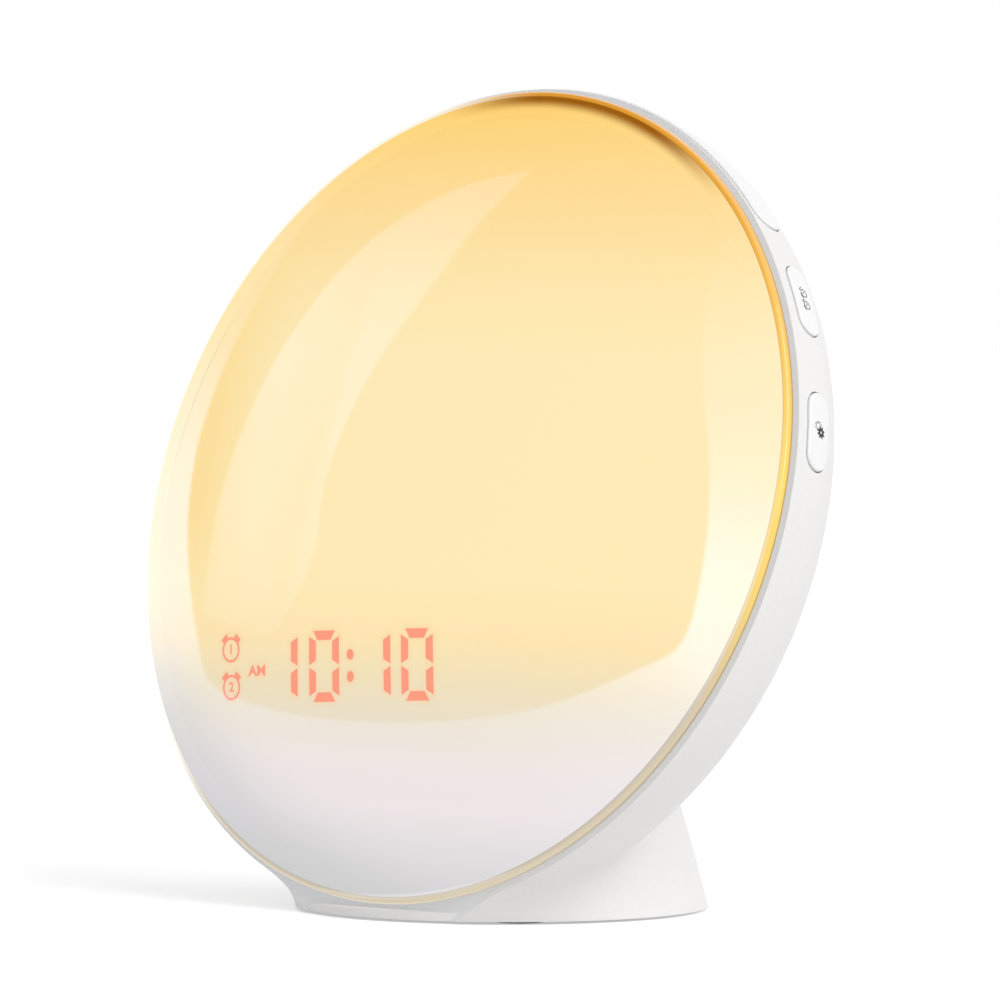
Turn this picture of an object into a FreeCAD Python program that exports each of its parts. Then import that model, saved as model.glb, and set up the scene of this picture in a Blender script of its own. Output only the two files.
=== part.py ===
import FreeCAD, Part
import math
import os

Vector = FreeCAD.Vector

# Round face: the clear lens, the diffuser behind it and the frame that holds both.
face_radius = 90.0
face_lean_back = 16.19      # degrees from upright
face_centre_height = 90.1
face_centre_forward = 15.49
lens_bulge = 7.0
lens_thickness = 2.0
lens_edge_height = 2.1
lens_edge_width = 2.2
lens_corner_radius = 0.5
diffuser_thickness = 1.3
stack_gap = 0.3             # air gap between curved sheets
frame_thickness = 1.2
frame_opening_radius = 77.5

# Bowl of the rear housing, a solid of revolution about the face's axis.
bowl_radius = 91.2
bowl_straight_depth = 3.1   # depth at which the wall starts to curve in
bowl_curve_depth = 33.4
bowl_side_power = 3.07
bowl_back_power = 2.77
wall = 2.2
lip_gap = 0.2               # shadow line between the lens and the bowl

# Foot: ellipses at rising heights, each leaning further forward.
foot_half_width = 45.4
foot_half_depth = 43.6
foot_waist_height = 19.0
foot_waist_half_width = 43.5
foot_waist_half_depth = 41.8
foot_waist_forward = 4.9
foot_shoulder_height = 45.0
foot_shoulder_half_width = 35.0
foot_shoulder_half_depth = 31.0
foot_shoulder_forward = 6.0
foot_crown_height = 63.0
foot_crown_half_width = 20.0
foot_crown_half_depth = 15.0
foot_crown_forward = 8.0
foot_blend_radius = 12.0
ground_gap = 0.6            # the housing stands this far above the table
toe_height = 2.4            # the foot's front edge, which runs out under the lens

# Base plate, feet and coin cell.
plate_thickness = 2.0
plate_clearance = 0.25
pad_radius = 5.5
pad_sunk = 0.6
rear_pad_x = 25.0
rear_pad_y = 22.0
front_pad_x = 26.0
front_pad_y = -24.0
cell_radius = 10.0
cell_height = 3.2
cell_centre_y = -3.0
door_radius = 12.2
door_clearance = 0.3
lug_reach = 1.5
lug_height = 0.9
lug_angle = 30.0
door_turn = 45.0            # degrees to unlock

# Buttons in the rim of the bowl.
button_length = 16.9
button_width = 7.2
button_depth = 9.0          # behind the face's edge
button_proud = 0.6
button_gap = 0.3
button_angles = {"alarm": 60.25, "settings": 79.35, "light": -60.25, "radio": -79.35}
snooze_half_angle = 48.3
snooze_width = 8.7
snooze_depth = 7.75
snooze_end_gap = 0.7
snooze_switch_x = 22.0
snooze_keeper_angle = 28.0
snooze_keeper_span = 8.0

# Stack under every button, measured outward from the face's axis.
board_level = 79.6
board_thickness = 1.2
switch_height = 3.4
plunger_top_level = 85.2
plunger_length = 2.3
plunger_radius = 1.75
cap_flange_level = 86.1
cap_flange_thickness = 1.1
cap_flange_reach = 0.7

# Light engine behind the diffuser.
reflector_front_radius = 76.8
reflector_floor_radius = 60.0
reflector_floor_depth = 18.5
reflector_wall = 1.0
led_board_radius = 58.0
led_board_thickness = 1.6
led_size = 5.0
led_height = 1.4
led_hole_radius = 3.9
led_rings = ((50.0, 12), (32.0, 8), (14.0, 4))
led_screw_radius = 55.0

# Time display, low on the left of the face.
digit_height = 16.2
digit_width = 9.1
digit_pitch = 12.3
digit_stroke = 2.0
stroke_gap = 0.35           # from the figure's middle line to the upright strokes
stroke_corner = 1.3
stroke_bevel = 1.0
mark_radius = 3.2
mark_play = 0.05
mark_places = ((-57.3, -35.8), (-55.1, -44.4))
digit_slant = 15.0          # degrees, tops lean to the left on the face
colon_width = 3.2
display_left = -65.0
display_right = 9.0
display_middle = -39.6
display_height = 20.0
display_front_depth = 3.4
display_block_depth = 7.6
display_board_thickness = 1.2
display_clearance = 0.4

# Speaker in the back of the bowl.
speaker_offset = 16.0       # above the face's centre
speaker_radius = 20.8
grille_radius = 22.7
grille_gap = 0.3
grille_inner_depth = 34.0
grille_flange_depth = 31.0
grille_flange_radius = 25.0
grille_hole_radius = 1.1
grille_hole_pitch = 4.2
grille_rings = 4
gasket_thickness = 1.5
flange_thickness = 1.2
magnet_radius = 11.0
magnet_front_depth = 22.7

# Main board and power inlet.
main_board_half_width = 30.0
main_board_top = -12.0
main_board_bottom = -52.0
main_board_depth = 26.0
main_board_thickness = 1.6
power_board_height = 4.2
power_board_thickness = 1.6
power_lead_x = 5.0
power_lead_y = 21.0
lead_radius = 0.6
power_board_y = 27.0
jack_height = 11.5
jack_width = 9.0
jack_length = 12.0
jack_bore_radius = 3.2
jack_pin_radius = 1.05
jack_collar_radius = 4.1
jack_collar_length = 3.4
jack_front_y = 35.0

# Screws.
frame_screw_radius = 83.0
frame_screw_angles = (38.0, 125.0, -125.0, -38.0)
frame_boss_radius = 2.8
frame_boss_end = 13.8
well_radius = 2.9
well_wall = 1.4
well_floor_depth = 14.0
well_floor = 1.4
screw_shank_radius = 1.05
screw_head_radius = 2.3
screw_head_height = 1.5
pilot_radius = 1.1
free_hole_radius = 1.4

face_centre = Vector(0, -face_centre_forward, face_centre_height)
head_placement = FreeCAD.Placement(face_centre, FreeCAD.Rotation(Vector(1, 0, 0), 90 - face_lean_back))
axis = Vector(0, 0, 1)
origin = Vector(0, 0, 0)
lip_depth = lens_edge_height + lip_gap
plate_bottom = ground_gap
plate_top = plate_bottom + plate_thickness
diffuser_radius = face_radius - lens_edge_width - 0.4
frame_depth = 3.2
frame_back_depth = frame_depth + frame_thickness
bowl_depth = bowl_straight_depth + bowl_curve_depth
reflector_back_depth = reflector_floor_depth + reflector_wall
led_board_back = reflector_back_depth + led_board_thickness

nodes = {}


def add(name, *shapes):
    """Keeps one named piece, or a group of like pieces, for export."""
    nodes[name] = shapes[0] if len(shapes) == 1 else Part.makeCompound(list(shapes))


def in_row(shape):
    """Moves a shape drawn about the face's axis to its place on the leaning head."""
    moved = shape.copy()
    moved.Placement = head_placement.multiply(moved.Placement)
    return moved


def line(start, end):
    return Part.LineSegment(Vector(start[0], 0, start[1]), Vector(end[0], 0, end[1])).toShape()


def outline(points):
    return [line(points[i], points[i + 1]) for i in range(len(points) - 1)]


def dome(crown, rim_radius, rim):
    """Arc of a shallow sphere from the axis at height crown to the rim."""
    drop = crown - rim
    sphere = (rim_radius ** 2 + drop ** 2) / (2 * drop)
    middle = crown - sphere + math.sqrt(sphere ** 2 - rim_radius ** 2 / 4)
    return Part.Arc(Vector(0, 0, crown), Vector(rim_radius / 2, 0, middle), Vector(rim_radius, 0, rim)).toShape()


def spun(edges, angle=360):
    """Solid of revolution of a closed outline about the face's axis."""
    return Part.Face(Part.Wire(edges)).revolve(origin, axis, angle)


def ring(points):
    return spun(outline(points + points[:1]))


def tube(outer, inner, low, high):
    return ring([(inner, low), (outer, low), (outer, high), (inner, high)])


def rod(radius, x, y, low, high):
    """Upright cylinder between two heights."""
    return Part.makeCylinder(radius, high - low, Vector(x, y, low), axis)


def block(x, y, z):
    """Box from three pairs of limits."""
    return Part.makeBox(x[1] - x[0], y[1] - y[0], z[1] - z[0], Vector(x[0], y[0], z[0]))


def turned(shape, clock):
    """Turns a shape made at 12 o'clock to another place on the dial, in degrees clockwise."""
    moved = shape.copy()
    moved.rotate(origin, axis, -clock)
    return moved


def stadium(length, width, low, high, depth):
    """Pill-shaped prism that points outward at 12 o'clock."""
    end = width / 2
    flat = length / 2 - end
    z = -depth
    edges = [
        Part.LineSegment(Vector(-flat, low, z - end), Vector(flat, low, z - end)).toShape(),
        Part.Arc(Vector(flat, low, z - end), Vector(flat + end, low, z), Vector(flat, low, z + end)).toShape(),
        Part.LineSegment(Vector(flat, low, z + end), Vector(-flat, low, z + end)).toShape(),
        Part.Arc(Vector(-flat, low, z + end), Vector(-flat - end, low, z), Vector(-flat, low, z - end)).toShape(),
    ]
    return Part.Face(Part.Wire(edges)).extrude(Vector(0, high - low, 0))


def bowl_outline(offset):
    """Points on the bowl's outline, moved out by offset, from the side wall to the middle of the back."""
    steps = 10
    points = []
    for i in range(steps + 1):
        turn = math.radians(90 * i / steps)
        side, back = math.cos(turn), math.sin(turn)
        radius = bowl_radius * max(side, 0) ** (2 / bowl_back_power)
        depth = bowl_curve_depth * back ** (2 / bowl_side_power)
        out_radius = max(side, 0) ** (2 - 2 / bowl_back_power) / bowl_radius
        out_depth = back ** (2 - 2 / bowl_side_power) / bowl_curve_depth
        length = math.hypot(out_radius, out_depth)
        points.append(Vector(radius + offset * out_radius / length, 0,
                             -bowl_straight_depth - depth - offset * out_depth / length))
    points[0] = Vector(bowl_radius + offset, 0, -bowl_straight_depth)
    points[-1] = Vector(0, 0, -bowl_depth - offset)
    return points


def bowl_solid(offset, front):
    """Closed bowl whose wall lies offset outside the housing's, cut square at height front."""
    radius = bowl_radius + offset
    lead = 4
    rise = front + bowl_straight_depth
    points = [Vector(radius, 0, front - rise * i / lead) for i in range(lead)] + bowl_outline(offset)
    curve = Part.BSplineCurve()
    curve.interpolate(Points=points, InitialTangent=Vector(0, 0, -1), FinalTangent=Vector(-1, 0, 0))
    solid = spun([line((0, front), (radius, front)), curve.toShape(), line((0, -bowl_depth - offset), (0, front))])
    solid.rotate(origin, axis, 90)
    return solid


def foot_section(height, half_width, half_depth, forward):
    """Closed ellipse of the foot at one height, begun at the front."""
    points = []
    steps = 16
    for i in range(steps):
        turn = 2 * math.pi * i / steps
        points.append(Vector(-half_width * math.sin(turn), -forward - half_depth * math.cos(turn), height))
    curve = Part.BSplineCurve()
    curve.interpolate(Points=points, PeriodicFlag=True)
    return Part.Wire([curve.toShape()])


def foot_solid(inset):
    """The foot as a smooth loft that runs on below the table; inset draws every wall in by that much."""
    sections = [
        (-40.0, foot_half_width + 6.5, foot_half_depth + 6.5, -6.0),
        (-15.0, foot_half_width + 2.5, foot_half_depth + 2.5, -2.0),
        (0.0, foot_half_width, foot_half_depth, 0.0),
        (foot_waist_height, foot_waist_half_width, foot_waist_half_depth, foot_waist_forward),
        (foot_shoulder_height - inset, foot_shoulder_half_width, foot_shoulder_half_depth, foot_shoulder_forward),
        (foot_crown_height - inset, foot_crown_half_width, foot_crown_half_depth, foot_crown_forward),
    ]
    wires = [foot_section(height, half_width - inset, half_depth - inset, forward)
             for height, half_width, half_depth, forward in sections]
    return Part.makeLoft(wires, True, False)


def ahead_of(depth):
    """Everything in front of a plane parallel to the face."""
    return in_row(block((-200, 200), (-200, 200), (-depth, 200)))


def snooze_band(half_angle, width, low, high):
    """Ring sector with round ends, the plan of the long bar along the top of the rim."""
    end = width / 2
    straight = half_angle - math.degrees(end / bowl_radius)
    sector = spun(outline([(low, -snooze_depth - end), (high, -snooze_depth - end), (high, -snooze_depth + end),
                           (low, -snooze_depth + end), (low, -snooze_depth - end)]), 2 * straight)
    sector.rotate(origin, axis, 90 - straight)
    tip = Part.makeCylinder(end, high - low, Vector(0, low, -snooze_depth), Vector(0, 1, 0))
    return sector.multiFuse([turned(tip, straight), turned(tip, -straight)])


def make_front():
    """Lens, diffuser and the frame that carries them."""
    inner = face_radius - lens_edge_width
    lens_edges = [dome(lens_bulge, face_radius, 0)]
    lens_edges += outline([(face_radius, 0), (face_radius, -lens_edge_height), (inner, -lens_edge_height),
                           (inner, -lens_edge_height + 0.45)])
    lens_edges += [dome(lens_bulge - lens_thickness, inner, -lens_edge_height + 0.45),
                   line((0, lens_bulge - lens_thickness), (0, lens_bulge))]
    lens = spun(lens_edges)
    rims = [edge for edge in lens.Edges if edge.BoundBox.XLength > 2 * face_radius - 0.1]
    add("front_lens", in_row(lens.makeFillet(lens_corner_radius, rims)))

    front = lens_bulge - lens_thickness - stack_gap
    back = front - diffuser_thickness
    seat = diffuser_radius - 2.6
    diffuser_edges = [dome(front, diffuser_radius, -lens_edge_height + 0.15)]
    diffuser_edges += outline([(diffuser_radius, -lens_edge_height + 0.15), (diffuser_radius, -frame_depth),
                               (seat, -frame_depth)])
    diffuser_edges += [dome(back, seat, -frame_depth), line((0, back), (0, front))]
    add("light_diffuser", in_row(spun(diffuser_edges)))

    frame = tube(diffuser_radius + 0.4, frame_opening_radius, -frame_back_depth, -frame_depth)
    parts, holes = [], []
    boss = rod(frame_boss_radius, 0, frame_screw_radius, -frame_boss_end, -frame_back_depth)
    hole = rod(pilot_radius, 0, frame_screw_radius, -frame_boss_end, -frame_back_depth - 2)
    for clock in frame_screw_angles:
        parts.append(turned(boss, clock))
        holes.append(turned(hole, clock))
    bracket = block((-6, 6), (board_level - 1, board_level), (-button_depth - 3.5, -frame_back_depth))
    for clock in button_angles.values():
        parts.append(turned(bracket, clock))
    parts.append(block((-26, 26), (board_level - 1, board_level), (-snooze_depth - 4, -frame_back_depth)))
    holes.append(display_room(-frame_back_depth - 1))
    add("front_frame", in_row(frame.multiFuse(parts).cut(Part.makeCompound(holes))))


def display_room(back):
    """Space that the display takes up, with a little clearance all round."""
    half = display_height / 2 + display_clearance
    return block((display_left - display_clearance, display_right + display_clearance),
                 (display_middle - half, display_middle + half), (back, 0))


def ring_points():
    """Places of the lamps on their rings, with the angle of each."""
    places = []
    for radius, count in led_rings:
        for i in range(count):
            turn = 360 * (i + 0.5) / count
            places.append((radius * math.sin(math.radians(turn)), radius * math.cos(math.radians(turn)), turn))
    return places


def make_light():
    """Reflector tray, lamp board and lamps."""
    slope = (reflector_front_radius - reflector_floor_radius) / (reflector_floor_depth - frame_back_depth)
    across = reflector_wall * math.hypot(1, slope)
    front, floor, back = -frame_back_depth, -reflector_floor_depth, -reflector_back_depth
    tray = ring([(0, floor), (reflector_floor_radius, floor), (reflector_front_radius, front),
                 (reflector_front_radius + across, front),
                 (reflector_floor_radius + across - slope * reflector_wall, back), (0, back)])
    block_back = -display_front_depth - display_block_depth - display_board_thickness
    tray = tray.cut(display_room(block_back - 0.4))
    posts = [rod(1.8, x, y, floor, block_back)
             for x in (display_left + 22, display_right - 6)
             for y in (display_middle - 7, display_middle + 7)]
    screw_posts = [turned(rod(2.2, 0, led_screw_radius, floor, floor + 4), 90 * i) for i in range(4)]
    tray = tray.multiFuse(posts + screw_posts)
    holes = [rod(led_hole_radius, x, y, back - 1, floor + 1) for x, y, turn in ring_points()]
    holes += [turned(rod(pilot_radius, 0, led_screw_radius, back - 1, floor + 3), 90 * i) for i in range(4)]
    add("light_reflector", in_row(tray.cut(Part.makeCompound(holes))))

    board = rod(led_board_radius, 0, 0, -led_board_back, back)
    holes = [turned(rod(free_hole_radius, 0, led_screw_radius, -led_board_back - 1, back + 1), 90 * i)
             for i in range(4)]
    add("led_board", in_row(board.cut(Part.makeCompound(holes))))

    lamps = []
    for x, y, turn in ring_points():
        lamp = block((-led_size / 2, led_size / 2), (-led_size / 2, led_size / 2), (back, back + led_height))
        lamp.rotate(origin, axis, -turn)
        lamp.translate(Vector(x, y, 0))
        lamps.append(in_row(lamp))
    add("light_leds", *lamps)
    add("led_board_screws", *[in_row(turned(screw(0, led_screw_radius, -led_board_back, 3.8), 90 * i))
                              for i in range(4)])


def screw(x, y, seat, length):
    """Screw with its head behind the seat and its shank pointing forward."""
    head = rod(screw_head_radius, x, y, seat - screw_head_height, seat)
    shank = rod(screw_shank_radius, x, y, seat, seat + length)
    recess = rod(0.8, x, y, seat - screw_head_height, seat - screw_head_height + 0.8)
    return head.fuse(shank).cut(recess)


def segment_shapes(left):
    """The seven strokes of one figure, as plan outlines before the slant. The long edge of each lies outside."""
    half, right = digit_height / 2, left + digit_width

    def upright(outer, inner, side):
        return [(outer, side * stroke_gap), (outer, side * (half - stroke_corner)),
                (inner, side * (half - stroke_corner - stroke_bevel)), (inner, side * (stroke_gap + stroke_bevel))]

    def level(side):
        start, end, run = left + stroke_corner, right - stroke_corner, stroke_bevel + 0.2
        return [(start, side * half), (end, side * half), (end - run, side * (half - digit_stroke)),
                (start + run, side * (half - digit_stroke))]

    tip, thick = left + stroke_corner + 0.3, digit_stroke / 2
    far = left + right - tip
    strokes = [upright(left, left + digit_stroke, side) for side in (1, -1)]
    strokes += [upright(right, right - digit_stroke, side) for side in (1, -1)]
    strokes += [level(1), level(-1)]
    strokes.append([(tip, 0), (tip + thick, -thick), (far - thick, -thick), (far, 0), (far - thick, thick),
                    (tip + thick, thick)])
    return strokes


def slanted(points, low, high):
    """Prism over a plan outline, sheared by the figures' slant about the display's middle line."""
    shear = math.tan(math.radians(digit_slant))
    corners = [Vector(x - shear * y, display_middle + y, low) for x, y in points]
    return Part.Face(Part.makePolygon(corners + corners[:1])).extrude(Vector(0, 0, high - low))


def figure_outlines():
    """Plan outlines of all strokes: two pairs of figures and the colon between them."""
    pair_gap = colon_width + 2.4
    starts = [display_left + 18.5, display_left + 18.5 + digit_pitch]
    starts += [starts[1] + digit_pitch + pair_gap - 0.6, starts[1] + 2 * digit_pitch + pair_gap - 0.6]
    outlines = []
    for start in starts:
        outlines += segment_shapes(start)
    colon = (starts[1] + digit_width + starts[2]) / 2
    for y in (-3.8, 3.8):
        outlines.append([(colon - 1, y - 1), (colon + 1, y - 1), (colon + 1, y + 1), (colon - 1, y + 1)])
    return outlines


def make_display():
    """Digit block with a light well for every stroke, the strokes and the board behind."""
    low, high = display_middle - display_height / 2, display_middle + display_height / 2
    front, back = -display_front_depth, -display_front_depth - display_block_depth
    body = block((display_left, display_right), (low, high), (back, front))
    wells, strokes = [], []
    for points in figure_outlines():
        wells.append(slanted(points, back - 1, front + 1))
        strokes.append(in_row(slanted(points, back, front)))
    for x, y in mark_places:
        wells.append(rod(mark_radius, x, y, back - 1, front + 1))
        strokes.append(in_row(rod(mark_radius - mark_play, x, y, back, front)))
    morning = (display_left + 13.1, display_left + 18.1), (display_middle - 2.9, display_middle - 0.1)
    wells.append(block(*morning, (back - 1, front + 1)))
    strokes.append(in_row(block(*morning, (back, front))))
    add("display_block", in_row(body.cut(Part.makeCompound(wells))))
    add("display_segments", *strokes)
    add("display_board", in_row(block((display_left, display_right), (low, high),
                                      (back - display_board_thickness, back))))


def make_buttons():
    """Caps, plungers, switches and small boards, all built at 12 o'clock and turned into place."""
    slots, switches, boards, screws = [], [], [], []
    skin = turned(bowl_solid(button_proud, 5), 180)
    top = board_level + board_thickness
    body = block((-3, 3), (top, top + switch_height), (-3 - button_depth, 3 - button_depth))
    well = Part.makeCylinder(plunger_radius + 0.15, 3, Vector(0, top + 0.8, -button_depth), Vector(0, 1, 0))
    body = body.cut(well)
    plunger = Part.makeCylinder(plunger_radius, plunger_length, Vector(0, plunger_top_level - plunger_length,
                                                                       -button_depth), Vector(0, 1, 0))
    stem = Part.makeCylinder(1.6, cap_flange_level - plunger_top_level + 0.5,
                             Vector(0, plunger_top_level, -button_depth), Vector(0, 1, 0))
    flange = stadium(button_length + 2 * cap_flange_reach, button_width + 2 * cap_flange_reach,
                     cap_flange_level, cap_flange_level + cap_flange_thickness, button_depth)
    shaft = stadium(button_length, button_width, cap_flange_level, bowl_radius + 5, button_depth)
    slot = stadium(button_length + 2 * button_gap, button_width + 2 * button_gap, cap_flange_level - 2,
                   bowl_radius + 5, button_depth)
    cap = shaft.common(skin)
    outer = [edge for edge in cap.Edges if edge.BoundBox.YMin > cap_flange_level + 2]
    cap = cap.makeFillet(0.5, outer).multiFuse([flange, stem])
    board = block((-10, 10), (board_level, top), (-4 - button_depth, 4 - button_depth))
    for name, clock in button_angles.items():
        add(name + "_button", in_row(turned(cap, clock)))
        add(name + "_plunger", in_row(turned(plunger, clock)))
        slots.append(turned(slot, clock))
        switches.append(in_row(turned(body, clock)))
        boards.append(in_row(turned(board, clock)))

    inner = cap_flange_level + 2.5
    shift = snooze_depth - button_depth
    bar = snooze_band(snooze_half_angle, snooze_width, inner, bowl_radius + 5).common(skin)
    outer = [edge for edge in bar.Edges if min((vertex.Point.x ** 2 + vertex.Point.y ** 2) ** 0.5
                                               for vertex in edge.Vertexes) > inner + 1
             and edge.Length > 2]
    bar = bar.makeFillet(0.5, outer)
    rear = -snooze_depth - snooze_width / 2
    keepers = []
    for clock in (-snooze_keeper_angle, 0, snooze_keeper_angle):
        keeper = spun(outline([(cap_flange_level, rear - 1.4), (bowl_radius, rear - 1.4), (bowl_radius, rear - 0.2),
                               (inner + 0.4, rear - 0.2), (inner + 0.4, rear + 3), (cap_flange_level, rear + 3),
                               (cap_flange_level, rear - 1.4)]), snooze_keeper_span)
        keeper.rotate(origin, axis, 90 - snooze_keeper_span / 2)
        keepers.append(turned(keeper.common(bowl_solid(-wall - 0.2, 5)), clock))
    posts, plungers = [], []
    for x in (-snooze_switch_x, snooze_switch_x):
        posts.append(block((x - 2, x + 2), (plunger_top_level, plunger_top_level + 2),
                           (-snooze_depth - 2, -snooze_depth + 2)))
        moved = plunger.copy()
        moved.translate(Vector(x, 0, -shift))
        plungers.append(in_row(moved))
        moved = body.copy()
        moved.translate(Vector(x, 0, -shift))
        switches.append(in_row(moved))
    add("snooze_bar", in_row(bar.multiFuse(posts + keepers)))
    add("snooze_plungers", *plungers)
    slots.append(snooze_band(snooze_half_angle + math.degrees((snooze_end_gap - button_gap) / bowl_radius),
                             snooze_width + 2 * button_gap, cap_flange_level - 2, bowl_radius + 5))
    boards.append(in_row(block((-28, 28), (board_level, top), (-snooze_depth - 4, -frame_back_depth - 0.3))))
    add("tact_switches", *switches)
    add("button_boards", *boards)
    return slots


def make_housing(slots):
    """Bowl and foot as one moulding, hollow and open towards the face and the base plate."""
    bowl = in_row(bowl_solid(0, 30))
    foot = foot_solid(0)
    shell = bowl.fuse(foot)
    seam = []
    for edge in shell.Edges:
        middle = Part.Vertex(edge.valueAt((edge.FirstParameter + edge.LastParameter) / 2))
        if max(middle.distToShape(form.Shells[0])[0] for form in (bowl, foot)) < 1e-3:
            seam.append(edge)
    shell = shell.makeFillet(foot_blend_radius, seam)
    front = ahead_of(lip_depth)
    toe = foot.common(front).common(block((-60, 60), (-60, 60), (0, toe_height)))
    skin = shell.cut(front).fuse(toe)
    skin = skin.cut(block((-200, 200), (-200, 200), (-60, ground_gap)))

    hollow = in_row(bowl_solid(-wall, 30)).fuse(foot_solid(wall).cut(ahead_of(lip_depth + wall)))
    housing = skin.cut(hollow)

    added, holes = [], [in_row(slot) for slot in slots]
    for clock in frame_screw_angles:
        well = rod(well_radius + well_wall, 0, frame_screw_radius, -bowl_depth, -well_floor_depth)
        added.append(in_row(turned(well, clock)))
        recess = rod(well_radius, 0, frame_screw_radius, -bowl_depth, -well_floor_depth - well_floor)
        through = rod(free_hole_radius, 0, frame_screw_radius, -bowl_depth, -well_floor_depth + 1)
        holes.append(in_row(turned(recess.fuse(through), clock)))
    seat = rod(grille_radius + 3.6, 0, speaker_offset, -bowl_depth, -grille_flange_depth - 1)
    added.append(in_row(seat))
    holes.append(in_row(rod(grille_radius + grille_gap, 0, speaker_offset, -bowl_depth - 1, 0)))
    for x, y in pad_places():
        gusset = Part.makeBox(12, 1.4, 9.2, Vector(0, -0.7, plate_top + 2.0))
        gusset.rotate(origin, axis, math.degrees(math.atan2(y, x)))
        gusset.translate(Vector(x, y, 0))
        added.append(rod(3.4, x, y, plate_top + 2.0, plate_top + 11.2).fuse(gusset))
        holes.append(rod(pilot_radius, x, y, plate_top + 1, plate_top + 9.5))
    holes.append(Part.makeCylinder(jack_collar_radius + 0.3, 20, Vector(0, jack_front_y - 4, jack_height),
                                   Vector(0, 1, 0)))
    housing = housing.multiFuse([piece.common(skin) for piece in added])
    housing = housing.cut(Part.makeCompound(holes))
    nodes["rear_housing"] = housing
    add("frame_screws", *[in_row(turned(screw(0, frame_screw_radius, -well_floor_depth - well_floor, 8), clock))
                          for clock in frame_screw_angles])


def pad_places():
    return [(side * x, y) for x, y in ((rear_pad_x, rear_pad_y), (front_pad_x, front_pad_y)) for side in (-1, 1)]


def main_board_posts():
    return [(side * (main_board_half_width - 4), y)
            for y in (main_board_top - 4, main_board_bottom + 5) for side in (-1, 1)]


def sector(inner, outer, middle, span, low, high):
    """Part of a ring round the coin cell's axis, between two heights."""
    edges = outline([(inner, low), (outer, low), (outer, high), (inner, high), (inner, low)])
    shape = spun(edges, span)
    shape.rotate(origin, axis, middle - span / 2)
    shape.translate(Vector(0, cell_centre_y, 0))
    return shape


def make_base():
    """Base plate, its feet and screws, and the coin cell with its twist-off door."""
    plate = foot_solid(wall + plate_clearance).common(block((-60, 60), (-60, 60), (plate_bottom, plate_top)))
    plate = plate.cut(ahead_of(lip_depth + wall + plate_clearance))
    cups, holes, pads, screws = [], [], [], []
    pad_top = plate_bottom + pad_sunk
    seat = pad_top + screw_head_height + 0.2
    for x, y in pad_places():
        cups.append(rod(3.6, x, y, plate_bottom, plate_top + 1.8))
        holes.append(rod(pad_radius + 0.2, x, y, plate_bottom - 1, pad_top))
        holes.append(rod(screw_head_radius + 0.3, x, y, plate_bottom - 1, seat))
        holes.append(rod(free_hole_radius, x, y, plate_bottom - 1, plate_top + 3))
        pads.append(rod(pad_radius, x, y, 0, pad_top))
        screws.append(screw(x, y, seat, 8.5))
    opening = rod(door_radius + door_clearance, 0, cell_centre_y, plate_bottom - 1, plate_top + 1)
    holes.append(opening)
    lug_outer = door_radius + lug_reach
    for middle in (door_turn, door_turn + 180):
        holes.append(sector(door_radius - 1, lug_outer + door_clearance, middle, lug_angle + 6,
                            plate_bottom - 1, plate_top + 1))
    power_top = power_board_height
    for x in (-8, 8):
        cups.append(rod(2.2, x, power_board_y - 3, plate_top, power_top))
        holes.append(rod(pilot_radius, x, power_board_y - 3, plate_bottom + 0.8, power_top + 1))
    add("base_plate", plate.multiFuse(cups).cut(Part.makeCompound(holes)))
    add("rubber_feet", *pads)
    add("base_screws", *screws)

    bottom = plate_bottom + 0.1
    door = rod(door_radius, 0, cell_centre_y, bottom, plate_top + 0.15)
    lug_low = plate_top + 0.15
    wall_ring = rod(cell_radius + 1.5, 0, cell_centre_y, plate_top, lug_low + lug_height)
    wall_ring = wall_ring.cut(rod(cell_radius + 0.3, 0, cell_centre_y, plate_top - 1, lug_low + lug_height + 1))
    lugs = [sector(cell_radius + 0.8, lug_outer, middle, lug_angle, lug_low, lug_low + lug_height)
            for middle in (0, 180)]
    slot = block((-6, 6), (cell_centre_y - 0.9, cell_centre_y + 0.9), (bottom - 1, bottom + 0.8))
    add("battery_door", door.multiFuse([wall_ring] + lugs).cut(slot))
    cell_low = plate_top + 0.3
    cell = rod(cell_radius, 0, cell_centre_y, cell_low, cell_low + cell_height)
    rims = [edge for edge in cell.Edges if edge.Closed]
    add("coin_cell", cell.makeFillet(0.3, rims))
    holder_inner = lug_outer + 0.4
    holder_top = cell_low + cell_height + 2.2
    holder = rod(holder_inner + 1.4, 0, cell_centre_y, plate_top, holder_top)
    holder = holder.cut(rod(holder_inner, 0, cell_centre_y, plate_top - 1, holder_top - 1.2))
    add("cell_holder", holder)
    spring = block((-3, 3), (cell_centre_y - 7, cell_centre_y + 7), (cell_low + cell_height + 0.7, holder_top - 1.2))
    add("cell_contact", spring.fuse(rod(2.0, 0, cell_centre_y, cell_low + cell_height, holder_top - 1.5)))


def make_power():
    """Small board in the foot with the power inlet that shows in the back."""
    low, high = power_board_height, power_board_height + power_board_thickness
    board = block((-11, 11), (power_board_y - 8, power_board_y + 8), (low, high))
    holes = [rod(free_hole_radius, x, power_board_y - 3, low - 1, high + 1) for x in (-8, 8)]
    add("power_board", board.cut(Part.makeCompound(holes)))
    add("power_board_screws", *[upright_screw(x, power_board_y - 3, high, 3.6) for x in (-8, 8)])
    half = jack_width / 2
    back = jack_front_y - jack_length
    body = block((-half, half), (back, jack_front_y), (high, jack_height + half))
    collar = Part.makeCylinder(jack_collar_radius, jack_collar_length, Vector(0, jack_front_y, jack_height), Vector(0, 1, 0))
    bore = Part.makeCylinder(jack_bore_radius, jack_length, Vector(0, back + 2.5, jack_height), Vector(0, 1, 0))
    add("power_jack", body.fuse(collar).cut(bore))
    pin = Part.makeCylinder(jack_pin_radius, jack_length - 2.5, Vector(0, back + 2.5, jack_height), Vector(0, 1, 0))
    add("jack_pin", pin)


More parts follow.
